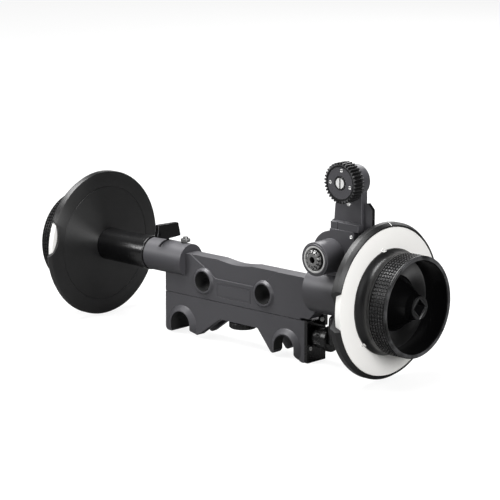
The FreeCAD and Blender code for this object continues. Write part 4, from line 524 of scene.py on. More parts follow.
# ---- finishes ----------------------------------------------------------------------------------
class GroupShelf:
    """The shader node groups that the finishes share, each built once."""

    def __init__(self) -> None:
        """Builds all the groups."""
        self.tone = self._tone_drift()
        self.grain = self._fine_grain()
        self.lathe = self._turning_marks()
        self.wear = self._edge_wear()
        self.dust = self._settled_dust()

    @staticmethod
    def _open(name: str, inputs: dict[str, str], outputs: dict[str, str]
              ) -> tuple[Wiring, Sequence[Socket], Sequence[Socket]]:
        """Starts a shader group whose first input is the coordinate."""
        return Wiring.group("ShaderNodeTree", name, {"Vector": "Vector", **inputs}, outputs)

    def _tone_drift(self) -> bpy.types.NodeTree:
        """Slow and fine changes of brightness over a coloured surface.

        Returns:
            The group.
        """
        wire, given, result = self._open(
            "tone_drift", {"Colour": "Color", "Amount": "Float", "Scale": "Float"}, {"Colour": "Color"})
        slow = wire.noise(given["Vector"], given["Scale"], detail=3.0)
        fine = wire.noise(given["Vector"], FINE_SCALE, detail=1.0)
        both = wire.maths("ADD", wire.maths("MULTIPLY", slow, 0.75), wire.maths("MULTIPLY", fine, 0.25))
        swing = wire.maths("MULTIPLY", wire.maths("SUBTRACT", both, 0.5), given["Amount"])
        factor = wire.maths("ADD", wire.maths("MULTIPLY", swing, 4.0), 1.0)
        wire.feed(result["Colour"], wire.scaled(given["Colour"], factor))
        return wire.tree

    def _fine_grain(self) -> bpy.types.NodeTree:
        """The bead-blasted or moulded grain of a surface, as a height and a gloss change.

        Returns:
            The group.
        """
        wire, given, result = self._open(
            "fine_grain", {"Depth": "Float"}, {"Height": "Float", "Gloss change": "Float"})
        grain = wire.noise(given["Vector"], GRAIN_SCALE, detail=2.0)
        broad = wire.noise(given["Vector"], BROAD_SCALE, detail=3.0)
        wire.feed(result["Height"], wire.maths("MULTIPLY", grain, given["Depth"]))
        wire.feed(result["Gloss change"], wire.maths("SUBTRACT", broad, 0.5))
        return wire.tree

    def _turning_marks(self) -> bpy.types.NodeTree:
        """Fine rings left by the lathe, about the X axis of the vector.

        Returns:
            The group.
        """
        wire, given, result = self._open(
            "turning_marks", {"Depth": "Float"}, {"Height": "Float", "Tone": "Float"})
        along, *across = wire.add("ShaderNodeSeparateXYZ", {0: given["Vector"]}).outputs
        squares = [wire.maths("MULTIPLY", side, side) for side in across]
        radius = wire.maths("SQRT", wire.maths("ADD", *squares))
        run = wire.maths("ADD", radius, wire.maths("MULTIPLY", along, LATHE_LEAN))
        lines = {"Detail": 3.0, "Scale": 1.0, "W": wire.maths("MULTIPLY", run, LATHE_LINES)}
        rings = wire.add("ShaderNodeTexNoise", lines, noise_dimensions="1D").outputs["Fac"]
        wire.feed(result["Height"], wire.maths("MULTIPLY", rings, given["Depth"]))
        wire.feed(result["Tone"], wire.maths("SUBTRACT", rings, 0.5))
        return wire.tree

    def _edge_wear(self) -> bpy.types.NodeTree:
        """Rounded edges that turn lighter, partly from handling and partly as a painted highlight.

        Returns:
            The group.
        """
        wire, given, result = self._open("edge_wear", {"Edge": "Float", "Amount": "Float"}, {"Mask": "Float"})
        patches = wire.noise(given["Vector"], PATCH_SCALE, detail=4.0)
        patch_mask = wire.maths("MULTIPLY", wire.maths("SUBTRACT", patches, EDGE_LIGHTEN_START), EDGE_LIGHTEN_GAIN, clamp=True)
        on_edge = wire.maths("MULTIPLY", patch_mask, given["Edge"])
        wire.feed(result["Mask"], wire.maths("MULTIPLY", on_edge, given["Amount"], clamp=True))
        return wire.tree

    def _settled_dust(self) -> bpy.types.NodeTree:
        """A thin haze on what faces up.

        Returns:
            The group.
        """
        wire, given, result = self._open(
            "settled_dust", {"Normal": "Vector", "Amount": "Float"}, {"Mask": "Float"})
        height = wire.add("ShaderNodeSeparateXYZ", {0: given["Normal"]}).outputs["Z"]
        haze = wire.noise(given["Vector"], HAZE_SCALE, detail=3.0)
        facing = wire.maths("MULTIPLY", wire.maths("MAXIMUM", height, 0.0), haze)
        wire.feed(result["Mask"], wire.maths("MULTIPLY", facing, given["Amount"]))
        return wire.tree


@dataclass(frozen=True)
class Finish:
    """A surface finish in a maker's terms, which builds its own material."""

    name: str
    slot: str
    colour: Colour
    roughness: float
    metallic: float = 0.0
    specular: float = 0.5
    drift: float = 0.03
    drift_scale: float = 40.0
    grain_depth: float = 1.5e-6
    lathe: Lathe = Lathe.NONE
    centre: Colour = (0.0, 0.0, SHAFT_HEIGHT)
    line_depth: float = 1.5e-6
    line_tone: float = 0.0
    line_gloss: float = 0.3
    lathe_streak: float = 0.0
    streak_turn: float = 0.0
    # How much marked edges turn lighter, and to which colour: partly from handling, partly a painted
    # highlight.
    wear: float = 0.0
    wear_colour: Colour = (0.42, 0.42, 0.44)
    dust: float = 0.0
    dust_colour: Colour = (0.55, 0.54, 0.52)

    def material(self, shelf: GroupShelf) -> bpy.types.Material:
        """Builds the material.

        Args:
            shelf: The shared shader groups.

        Returns:
            The material, with nodes.
        """
        made = bpy.data.materials.new(self.name)
        made.use_nodes = True
        made.diffuse_color = (*self.colour, 1.0)
        wire = Wiring(made.node_tree)
        shader = made.node_tree.nodes["Principled BSDF"].inputs
        place = wire.add("ShaderNodeTexCoord").outputs["Object"]

        def shared(group: bpy.types.NodeTree, vector: Socket, **values: object) -> Sequence[Socket]:
            """Outputs of a shared group, placed with its own values."""
            return wire.add("ShaderNodeGroup", {"Vector": vector, **values}, node_tree=group).outputs

        wire.feed(shader["Metallic"], self.metallic)
        wire.feed(shader["Specular IOR Level"], self.specular)
        if self.lathe_streak:
            along = wire.add("ShaderNodeTangent", direction_type="UV_MAP", uv_map=GRAIN_MAP)
            wire.feed(shader["Tangent"], along.outputs[0])
            wire.feed(shader["Anisotropic"], self.lathe_streak)
            wire.feed(shader["Anisotropic Rotation"], self.streak_turn)
        colour = shared(shelf.tone, place, Colour=(*self.colour, 1.0), Amount=self.drift,
                        Scale=self.drift_scale)["Colour"]
        grain = shared(shelf.grain, place, Depth=self.grain_depth)
        height = grain["Height"]
        rough = wire.maths("MULTIPLY_ADD", grain["Gloss change"], GLOSS_DRIFT, self.roughness, clamp=True)
        if self.lathe is not Lathe.NONE:
            centred = wire.add("ShaderNodeMapping", {
                "Vector": place, "Location": [c * MM for c in self.centre],
                "Rotation": (0.0, 0.0, self.lathe.value)}, vector_type="TEXTURE")
            marks = shared(shelf.lathe, centred.outputs[0], Depth=self.line_depth)
            height = wire.maths("ADD", height, marks["Height"])
            rough = wire.maths("MULTIPLY_ADD", marks["Tone"], self.line_gloss, rough, clamp=True)
            if self.line_tone:
                colour = wire.scaled(colour, wire.maths("MULTIPLY_ADD", marks["Tone"], self.line_tone, 1.0))
        # Marked edges turn lighter: partly from handling, partly a painted edge highlight.
        if self.wear:
            edge = wire.add("ShaderNodeAttribute", attribute_name=EDGE_ATTRIBUTE).outputs["Fac"]
            worn_and_lit = shared(shelf.wear, place, Edge=edge, Amount=self.wear)["Mask"]
            colour = wire.mixed(colour, self.wear_colour, worn_and_lit)
        if self.dust:
            normal = wire.add("ShaderNodeNewGeometry").outputs["Normal"]
            haze = shared(shelf.dust, place, Normal=normal, Amount=self.dust)["Mask"]
            colour = wire.mixed(colour, self.dust_colour, haze)
        bump = wire.add("ShaderNodeBump", {"Strength": 1.0, "Distance": 1.0, "Height": height})
        wire.feed(shader["Base Color"], colour)
        wire.feed(shader["Roughness"], rough)
        wire.feed(shader["Normal"], bump.outputs["Normal"])
        return made


GREY = Finish("grey_anodised", "grey_anodised", (0.062, 0.061, 0.067), 0.42, metallic=0.2, drift=0.012,
              drift_scale=160.0, wear=0.3, wear_colour=(0.24, 0.24, 0.26), dust=0.03)
GREY_SMOOTH = replace(GREY, name="grey_anodised_turned", colour=(0.054, 0.053, 0.059), roughness=0.48,
                      metallic=0.1, lathe=Lathe.ALONG_X)
BLACK = Finish("black_anodised", "black_anodised", (0.004, 0.004, 0.0043), 0.27, specular=0.4, drift=0.02,
               drift_scale=120.0, wear=0.3, wear_colour=(0.09, 0.09, 0.095), dust=0.01)
BLACK_TURNED = replace(BLACK, name="black_turned", colour=(0.0035, 0.0035, 0.0038), roughness=0.20,
                       specular=0.5, lathe=Lathe.ALONG_X, line_tone=0.3, wear_colour=(0.08, 0.08, 0.085),
                       dust=0.008)
GRIP = replace(BLACK_TURNED, name="black_grip", roughness=0.34, specular=0.45, drift=0.03, line_depth=2e-6,
               line_tone=0.0, line_gloss=0.06, wear=0.8, wear_colour=(0.09, 0.09, 0.094), dust=0.002)
# Darker, less shiny copies of the wheel's black for the inside of the cup: painted shade. The floor copy also
# carries the turned streaks.
CUP_SHADE = replace(BLACK, name="black_cup", colour=(0.0025, 0.0025, 0.0027), roughness=0.22, specular=0.25,
              wear=0.0, dust=0.0)
CUP_FLOOR = replace(CUP_SHADE, name="black_cup_floor", colour=(0.003, 0.003, 0.0032), roughness=0.5, specular=0.9,
                    lathe=Lathe.ALONG_X, line_depth=2e-6, line_gloss=0.04, lathe_streak=0.85,
                    streak_turn=0.286)
# Knurl studs, whose marked crowns turn lighter: partly from handling, partly a painted highlight.
STUDS = replace(BLACK, name="black_studs", colour=(0.005, 0.005, 0.0053), roughness=0.38, specular=0.25,
                drift=0.03, wear=0.6, wear_colour=(0.045, 0.045, 0.047), dust=0.002)
DISH = replace(BLACK_TURNED, name="black_dish", colour=(0.0035, 0.0035, 0.0037), roughness=0.46,
               specular=0.70, drift_scale=90.0, line_depth=2e-6, line_gloss=0.04, lathe_streak=0.82,
               wear=0.5, wear_colour=(0.10, 0.10, 0.105), dust=0.002)
# Gloss black whose marked edges turn light grey: a painted highlight along the edges, and partly handling
# marks.
GLOSS = Finish("black_gloss", "black_anodised", (0.003, 0.003, 0.0032), 0.13, specular=0.2, wear=0.9,
               wear_colour=(0.22, 0.22, 0.23))
RUBBER = Finish("black_rubber", "black_rubber", (0.010, 0.010, 0.010), 0.75, grain_depth=3e-6, dust=0.02)
NUT = Finish("nut_steel", "bright_metal", (0.27, 0.27, 0.268), 0.38, metallic=0.9)
BRIGHT = Finish("bright_metal", "bright_metal", (0.62, 0.62, 0.612), 0.46, metallic=0.6, lathe=Lathe.ALONG_Y,
                centre=(PIVOT[0], 0.0, PIVOT[1]), line_tone=0.4, line_depth=5e-6)
# Steel parts: a light diffuse colour with little metal, standing in for the bright reflections of steel as a
# painted reflection.
CLIP_STEEL_PAINTED_SHINE = Finish("clip_steel", "bright_metal", (0.86, 0.86, 0.85), 0.26, metallic=0.4)
# Dark tab whose marked edges turn light grey: a painted highlight, and partly handling marks.
TAB = Finish("dark_tab", "bright_metal", (0.030, 0.030, 0.031), 0.26, metallic=0.5, wear=0.5,
             wear_colour=(0.3, 0.3, 0.3))
BUTTON = Finish("button_steel", "bright_metal", (0.20, 0.20, 0.20), 0.34, metallic=0.8)
# Near-black for the insides of bores and slots, and for a ring round the centre screw: painted shade.
PAINTED_SHADE = Finish("dark_recess", "bright_metal", (0.012, 0.012, 0.012), 0.6, specular=0.2)
DARK_STEEL = Finish("dark_screws", "dark_screws", (0.03, 0.03, 0.031), 0.32, metallic=0.4, wear=0.3,
                    dust=0.02)
SOCKET = Finish("socket_steel", "dark_screws", (0.006, 0.006, 0.0065), 0.26, specular=0.4, wear=0.6,
                wear_colour=(0.12, 0.12, 0.12))
STEEL = Finish("steel", "steel", (0.55, 0.55, 0.56), 0.26, metallic=1.0, lathe=Lathe.ALONG_X)
GEAR_STEEL = Finish("gear_steel", "gear_steel", (0.45, 0.45, 0.46), 0.35, metallic=1.0)
GEAR_BLACK = Finish("gear_black", "gear_black", (0.009, 0.009, 0.0095), 0.36, specular=0.3, wear=0.8,
                    wear_colour=(0.13, 0.13, 0.135), dust=0.01)
BRONZE = Finish("bronze", "bronze", (0.60, 0.42, 0.22), 0.32, metallic=1.0)
WHITE = Finish("white_plastic", "white_plastic", (0.89, 0.88, 0.855), 0.5, drift=0.006, grain_depth=8e-7,
               lathe=Lathe.ALONG_X, line_depth=4e-7)
PAINT = Finish("white_paint", "white_plastic", (0.80, 0.80, 0.79), 0.55)


class Workshop:
    """The frame, the finishes and the tools that every sub-assembly uses."""

    def __init__(self, frame: dict) -> None:
        """Reads which body each node is on.
        """
        bodies = frame["record"]["behaviour"]["bodies"]
        self.nodes: dict[str, Piece] = frame["nodes"]
        self.body_of = {node: body for body, members in bodies.items() for node in members}
        self.shelf = GroupShelf()
        self.array = RingArray()
        self.materials: dict[str, bpy.types.Material] = {}

    def paint(self, finish: Finish) -> bpy.types.Material:
        """The material of a finish, built when it is first asked for.

        Args:
            finish: The finish.

        Returns:
            The material.
        """
        if finish.name not in self.materials:
            self.materials[finish.name] = finish.material(self.shelf)
        return self.materials[finish.name]

    def second(self, made: Piece, finish: Finish) -> int:
        """Adds a finish to a piece unless it has it, and returns its material index.

        Args:
            made: The piece.
            finish: The finish.

        Returns:
            The finish's material index.
        """
        slots, material = made.data.materials, self.paint(finish)
        if slots.find(material.name) < 0:
            slots.append(material)
        return slots.find(material.name)

    def coat(self, made: Piece, finish: Finish) -> None:
        """Gives a piece one finish all over."""
        made.data.materials.clear()
        made.data.materials.append(self.paint(finish))

    def keep(self, finish: Finish, *nodes: str) -> None:
        """Shows nodes as they are, in a finish.

        Args:
            finish: The finish.
            *nodes: The nodes.
        """
        for node in nodes:
            self.coat(self.nodes[node], finish)
            LOG.info("kept %s in %s", node, finish.name)

    def mount(self, made: Piece, finish: Finish, body: str, *replaced: str,
              place: Matrix | None = None) -> Piece:
        """Coats a finished piece and fixes it to its body.

        Args:
            made: The piece, at the origin.
            finish: Its finish.
            body: Body that it moves with.
            *replaced: Nodes that it stands for.
            place: Where its mesh is moved first.

        Returns:
            The same piece.
        """
        if place:
            made.data.transform(place)
        self.coat(made, finish)
        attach(made, body)
        if replaced:
            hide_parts(*replaced)
        LOG.info("built %s on %s: %d faces", made.name, body, len(made.data.polygons))
        return made

    def refine(self, node: str, finish: Finish, width: float, steps: int = 2,
               cutters: Sequence[Mesh] = ()) -> Piece:
        """Builds a copy of a node with rounded edges and even shading, which stands for the node.

        Args:
            node: The node.
            finish: Its finish.
            width: Width of the rounding in millimetres.
            steps: Faces across each rounding.
            cutters: Grooves to cut before the edges are rounded, which are freed.

        Returns:
            The new piece.
        """
        bm = bmesh.new()
        bm.from_mesh(self.nodes[node].data)
        made = to_object(node + "_dressed", bm)
        for cutter in cutters:
            carve(made, cutter)
        return self.mount(reshaped(made, width, steps), finish, self.body_of[node], node)

    def blacken_bore(self, made: Piece, axis: tuple[float, float], radius: float,
                     open_below: bool = False) -> None:
        """Paints the wall of a bore along Y near-black, as painted shade.

        Args:
            made: The piece.
            axis: X and Z of the bore's axis in millimetres.
            radius: Radius of the bore in millimetres.
            open_below: Whether the bore is a saddle with straight walls below its axis.
        """
        black = self.second(made, PAINTED_SHADE)
        for face in made.data.polygons:
            away = []
            for place in (made.data.vertices[v].co / MM for v in face.vertices):
                height = place.z - axis[1]
                away.append(math.hypot(place.x - axis[0], max(height, 0.0) if open_below else height))
            upright = abs(face.normal.y) < 0.5 and face.normal.z > DOWNWARD
            if upright and max(away) < radius + BORE_MARGIN:
                face.material_index = black

    def darken(self, made: Piece, node: str, depth: float, axis: tuple[float, float], reach: float) -> None:
        """Paints the floors of slots and gaps in a bright piece that faces -Y near-black, as painted shade.

        Args:
            made: The piece.
            node: The node that it stands for.
            depth: Faces more than this many millimetres behind the node's front count as recessed.
            axis: X and Z of its axis in millimetres.
            reach: Only faces nearer the axis than this many millimetres are blackened.
        """
        black, front = self.second(made, PAINTED_SHADE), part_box(node)[0].y / MM + depth
        for face in made.data.polygons:
            place = face.center / MM
            if place.y > front and math.hypot(place.x - axis[0], place.z - axis[1]) < reach:
                face.material_index = black


# ---- sub-assemblies ----------------------------------------------------------------------------
@dataclass
class ScrewHead:
    """A small turned screw head with a slot or a round socket."""

    radius: float
    height: float
    socket: float = 0.0
    slot: float = 0.0

    def build(self, name: str, place: Matrix, slot_deg: float = 0.0) -> Piece:
        """Makes the head at its place.

        Args:
            name: Name of the piece.
            place: Matrix from the head's own frame, whose zero height is its seat.
            slot_deg: Direction of the slot.

        Returns:
            The piece, not yet dressed.
        """
        radius, height, edge = self.radius, self.height, min(0.25, self.height / 3)
        outline = [(-0.2, 0.0), (-0.2, radius), (height - edge, radius),
                   (height - edge * 0.3, radius - edge * 0.3), (height, radius - edge)]
        if self.socket:
            outline += [(height, self.socket), (height * 0.25, self.socket), (height * 0.25, 0.0)]
        else:
            outline.append((height, 0.0))
        made = to_object(name, turned(outline, SMALL_ROUND))
        if self.slot:
            reach, half = radius * 2, self.slot / 2
            cutter = slab((-reach, -half, height * 0.45), (reach, half, height + 1))
            cutter.transform(Matrix.Rotation(math.radians(slot_deg), 4, "Z"))
            carve(made, cutter)
        made.data.transform(place)
        return reshaped(made, width=0.06, steps=1)


@dataclass
class Handwheel:
    """Knurled grip wheel with a deep cup, its marking ring, clips and crank socket."""

    side: Side
    face_x: float
    ring_thickness: float = 4.5
    ring_overlap: float = 3.0
    collar_radius: float = 37.7
    collar_length: float = 1.4
    waist_radius: float = 34.0
    waist_steps: int = 16
    grip_radius: float = 36.0
    lip_radius: float = 35.3
    length: float = 25.9
    knurl_length: float = 13.5
    knurl_end: float = 24.7
    knurl_depth: float = 0.8
    knurl_count: int = 86
    knurl_rows: int = 5
    cup_radius: float = 32.6
    cup_depth: float = 20.0
    foot_radius: float = 19.0
    hub_radius: float = 8.4
    hub_proud: float = 1.6
    socket_side: float = 11.4
    socket_depth: float = 12.0
    shaft_radius: float = 3.0
    ring_radius: float = 52.4
    clip_count: int = 3
    clip_deg: float = 12.0
    segments: int = 176

    @property
    def place(self) -> Matrix:
        """Matrix from the wheel's own frame, zero height at the marking ring's face."""
        return stand((self.side.value, 0, 0), (self.face_x, 0, SHAFT_HEIGHT))

    def outside(self) -> list[tuple[float, float]]:
        """Profile from the shaft's back end over the collar, the waist, the grip band and the lip.

        Returns:
            The (height, radius) points in millimetres.
        """
        thick, collar, grip, lip = self.ring_thickness, self.collar_radius, self.grip_radius, self.lip_radius
        inner, groove = collar - self.ring_overlap, grip - self.knurl_depth
        points = [(-thick, self.shaft_radius), (-thick, inner), (0.0, inner), (0.0, collar - 0.25),
                  (0.25, collar), (self.collar_length - 0.1, collar)]
        start, end, last = self.collar_length, self.knurl_end - self.knurl_length, self.knurl_end
        for step in range(1, self.waist_steps + 1):
            share = step / self.waist_steps
            sag = (grip - self.waist_radius) * math.sin(math.pi * share)
            points.append((start + (end - start) * share, collar + (grip - collar) * share - sag))
        return points + [
            (end + 0.35, grip), (end + 0.55, groove), (last - 0.5, groove), (last - 0.1, grip),
            (last + 0.35, grip - 0.05), (last + 0.6, lip - 0.25), (last + 0.9, lip - 0.25), (last + 1.1, lip),
            (self.length - 0.35, lip), (self.length - 0.1, lip - 0.12), (self.length, lip - 0.4)]

    def inside(self) -> list[tuple[float, float]]:
        """Profile from the mouth of the cup down its wall, over its floor and up the hub.

        Returns:
            The (height, radius) points in millimetres.
        """
        end, cup, foot, hub = self.length, self.cup_radius, self.foot_radius, self.hub_radius
        floor, top = end - self.cup_depth, end + self.hub_proud
        return [(end, cup + 1.1), (end - 0.3, cup + 0.4), (end - 1.0, cup), (floor + 0.8, cup),
                (floor + 0.2, cup - 0.25), (floor, cup - 0.8), (floor, foot + 0.8), (floor + 0.3, foot - 0.3),
                (end - 4.6, hub + 1.25), (end - 3.6, hub + 0.75), (top - 0.7, hub), (top - 0.2, hub - 0.2),
                (top, hub - 0.7), (top, self.shaft_radius)]

    def wheel(self, shop: Workshop) -> None:
        """The wheel itself, with the square seat of its crank socket.

        Args:
            shop: The workshop.
        """
        bm = turned(self.outside() + self.inside(), self.segments)
        # Faces at the lip's edges and on the collar's rim are marked to turn lighter: a painted highlight
        # line, and partly handling marks.
        layer = bm.faces.layers.float.new(EDGE_ATTRIBUTE)
        for face in bm.faces:
            centre = face.calc_center_median() / MM
            height, radius = centre.z, math.hypot(centre.x, centre.y)
            at_edge = height > self.length - 0.4 or abs(height - self.knurl_end - 0.5) < 0.2
            on_collar = radius > self.collar_radius - 0.25 and height < 0.3
            face[layer] = 1.0 if at_edge and radius > self.cup_radius + 0.3 or on_collar else 0.0
        made = to_object(f"{self.side.word}_grip_wheel", bm, hard_deg=28.0)
        half, top = self.socket_side / 2, self.length + self.hub_proud
        cutter = slab((-half, -half, top - self.socket_depth), (half, half, top + 2))
        cutter.transform(Matrix.Rotation(math.radians(45), 4, "Z"))
        carve(made, cutter)
        shop.mount(made, GRIP, "handwheels", f"{self.side.word}_handwheel", place=self.place)
        self.line_cup(shop, made)

    def line_cup(self, shop: Workshop, made: Piece) -> None:
        """Gives the walls and the floor of the cup darker copies of the wheel's black, as painted shade.

        Args:
            shop: The workshop.
            made: The finished wheel.
        """
        floor, back = self.length - self.cup_depth, self.place.inverted()
        wall, bottom = shop.second(made, CUP_SHADE), shop.second(made, CUP_FLOOR)
        for face in made.data.polygons:
            centre = (back @ face.center) / MM
            radius = math.hypot(centre.x, centre.y)
            if radius < self.cup_radius + 0.2 and floor - 0.1 < centre.z < self.length - 0.5:
                on_floor = centre.z < floor + 0.1 and radius > self.foot_radius
                face.material_index = bottom if on_floor else wall

    def knurl(self, shop: Workshop) -> None:
        """The square studs of the grip band.

        Args:
            shop: The workshop.
        """
        pitch, grip = (self.knurl_length - 1.2) / self.knurl_rows, self.grip_radius
        start = self.knurl_end - self.knurl_length + 0.65 + pitch / 2
        radii, around = (grip - self.knurl_depth - 0.1, grip + 0.02), TURN * grip / self.knurl_count
        # Each stud's crown is marked whole, so the stud tops turn lighter: a painted highlight, and partly
        # handling marks.
        one = stud(radii, start, pitch, around, wear=1.0)
        made = to_object(f"{self.side.word}_grip_knurl", one, hard_deg=20.0)
        shop.array.repeat(made, shop.paint(STUDS), self.knurl_count, self.knurl_rows, pitch)
        shop.mount(made, STUDS, "handwheels", place=self.place)

    def marking_ring(self, shop: Workshop) -> None:
        """The white ring that takes the focus marks.

        Args:
            shop: The workshop.
        """
        inner, thick, edge = self.collar_radius - self.ring_overlap, self.ring_thickness, self.ring_radius
        outline = [(0.0, inner), (0.0, edge - 0.5), (-0.15, edge - 0.15), (-0.5, edge), (-thick + 0.2, edge),
                   (-thick, edge - 0.2), (-thick, inner)]
        made = to_object(f"{self.side.word}_white_ring", turned(outline, LARGE_ROUND), hard_deg=40.0)
        shop.mount(made, WHITE, "handwheels", f"{self.side.word}_marking_ring", place=self.place)

    def clips(self, shop: Workshop) -> None:
        """Spring clips that hold the ring: a bent foot and a small ball head each.

        Args:
            shop: The workshop.
        """
        base = self.collar_radius - 0.05
        foot = slab((base, -1.4, 0.0), (base + 0.6, 1.4, 2.6))
        bmesh.ops.bevel(foot, geom=list(foot.edges), offset=0.2 * MM, segments=2, affect="EDGES")
        head = turned([(0.0, 0.0), (0.0, 0.75), (0.5, 0.75), (0.85, 0.5), (1.0, 0.0)], 20)
        head.transform(Matrix.Translation(Vector((base + 1.0, 0.0, 0.0)) * MM))
        made = to_object(f"{self.side.word}_spring_clips", join([foot, head]))
        start = self.clip_deg * self.side.value
        shop.array.repeat(made, shop.paint(CLIP_STEEL_PAINTED_SHINE), self.clip_count, start_deg=start)
        shop.mount(made, CLIP_STEEL_PAINTED_SHINE, "handwheels", f"{self.side.word}_ring_clips", place=self.place)

    def build(self, shop: Workshop) -> None:
        """Builds and dresses every piece of this wheel.

        Args:
            shop: The workshop.
        """
        self.wheel(shop)
        self.knurl(shop)
        self.marking_ring(shop)
        self.clips(shop)
        shop.refine(f"{self.side.word}_crank_socket", SOCKET, 0.15, 1)


@dataclass
class IndexDish:
    """Black index dish with a scallop in its rim and a white index line."""

    side: Side
    face_x: float
    seat_radius: float
    notch_deg: float
    index_deg: float
    radius: float = 55.35
    rim_wall: float = 2.65
    bevel: float = 2.6
    thickness: float = 7.3
    web: float = 2.4
    flat_inner: float = 43.5
    cone_rise: float = 3.8
    cone_steps: int = 8
    hub_wall: float = 3.0
    rim_land: float = 0.9
    back_notch: tuple[float, float] = (16.0, 6.3)
    front_notch: tuple[float, float] = (27.0, 7.3)
    notch_steps: int = 96
    running_gap: float = 0.05
    line_half: float = 0.28
    line_lifts: tuple[float, float] = (-0.12, 0.05)
    hard_deg: float = 25.0

    def outline(self) -> list[tuple[float, float]]:
        """Closed profile from the rim's mouth over the outside and back through the pocket.

        Returns:
            The (height, radius) points in millimetres.
        """
        deep, bore = self.thickness, self.seat_radius + self.running_gap
        edge, flat, bevel, land = self.radius, self.flat_inner, self.bevel, self.rim_land
        inner, hub = edge - self.rim_wall, self.seat_radius + self.hub_wall
        points = [(0.0, inner + land), (-0.12, inner + land + 0.15), (-bevel + 0.1, edge - 0.15),
                  (-bevel - 0.1, edge), (-deep + 0.8, edge), (-deep + 0.25, edge - 0.25), (-deep, edge - 0.8),
                  (-deep, flat + 0.4), (-deep + 0.25, flat + 0.25), (-deep + 0.25, flat - 0.15),
                  (-deep - 0.05, flat - 0.35)]
        for step in range(1, self.cone_steps + 1):
            share = step / self.cone_steps
            points.append((-deep - self.cone_rise * share, flat + (hub - flat) * share))
        back = -deep + self.web
        return points + [(-deep - self.cone_rise, bore), (back, bore), (back, inner - 0.4),
                         (back + 0.4, inner), (0.0, inner)]

    def notch_cutter(self) -> Mesh:
        """Leaning cone that cuts the scallop, wider towards the rim's mouth.

        Returns:
            The mesh, at its place.
        """
        steps, rings = self.notch_steps, []
        for share in (-0.6, 1.35):
            radius, depth = [b + (f - b) * share for b, f in zip(self.back_notch, self.front_notch)]
            x = self.face_x - self.side.value * self.thickness * (1 - share)
            centre = self.radius - depth + radius
            rings.append([(x, radius * math.sin(TURN * k / steps) - centre,
                           SHAFT_HEIGHT + radius * math.cos(TURN * k / steps)) for k in range(steps)])
        bm = loft(rings)
        about = Matrix.Translation(Vector((0, 0, SHAFT_HEIGHT * MM)))
        bm.transform(about @ Matrix.Rotation(math.radians(-self.notch_deg), 4, "X") @ about.inverted())
        return bm

    def index_line(self) -> Mesh:
        """A thin painted line across the bevel of the rim.

        Returns:
            The mesh, in the dish's own frame.
        """
        inner = self.radius - self.rim_wall
        ends = ((-0.1, inner + self.rim_land + 0.1), (-self.bevel + 0.12, self.radius - 0.18),
                (-self.bevel - 0.9, self.radius))
        half, (under, proud) = self.line_half, self.line_lifts
        return loft([(radius + lift, across, along + lift * 0.7) for lift, across in (
            (under, -half), (under, half), (proud, half), (proud, -half))] for along, radius in ends)

    def build(self, shop: Workshop) -> None:
        """Builds the dish with its scallop, and its index line.

        Args:
            shop: The workshop.
        """
        word, place = self.side.word, stand((self.side.value, 0, 0), (self.face_x, 0, SHAFT_HEIGHT))
        made = to_object(f"{word}_dish", turned(self.outline(), LARGE_ROUND), self.hard_deg)
        made.data.transform(place)
        carve(made, self.notch_cutter())
        smooth(made.data, self.hard_deg)
        shop.mount(made, DISH, f"{word}_dish", f"{word}_index_dish")
        bm = self.index_line()
        bm.transform(place @ Matrix.Rotation(math.radians(self.index_deg), 4, "Z"))
        shop.mount(to_object(f"{word}_index_line", bm), PAINT, f"{word}_dish")


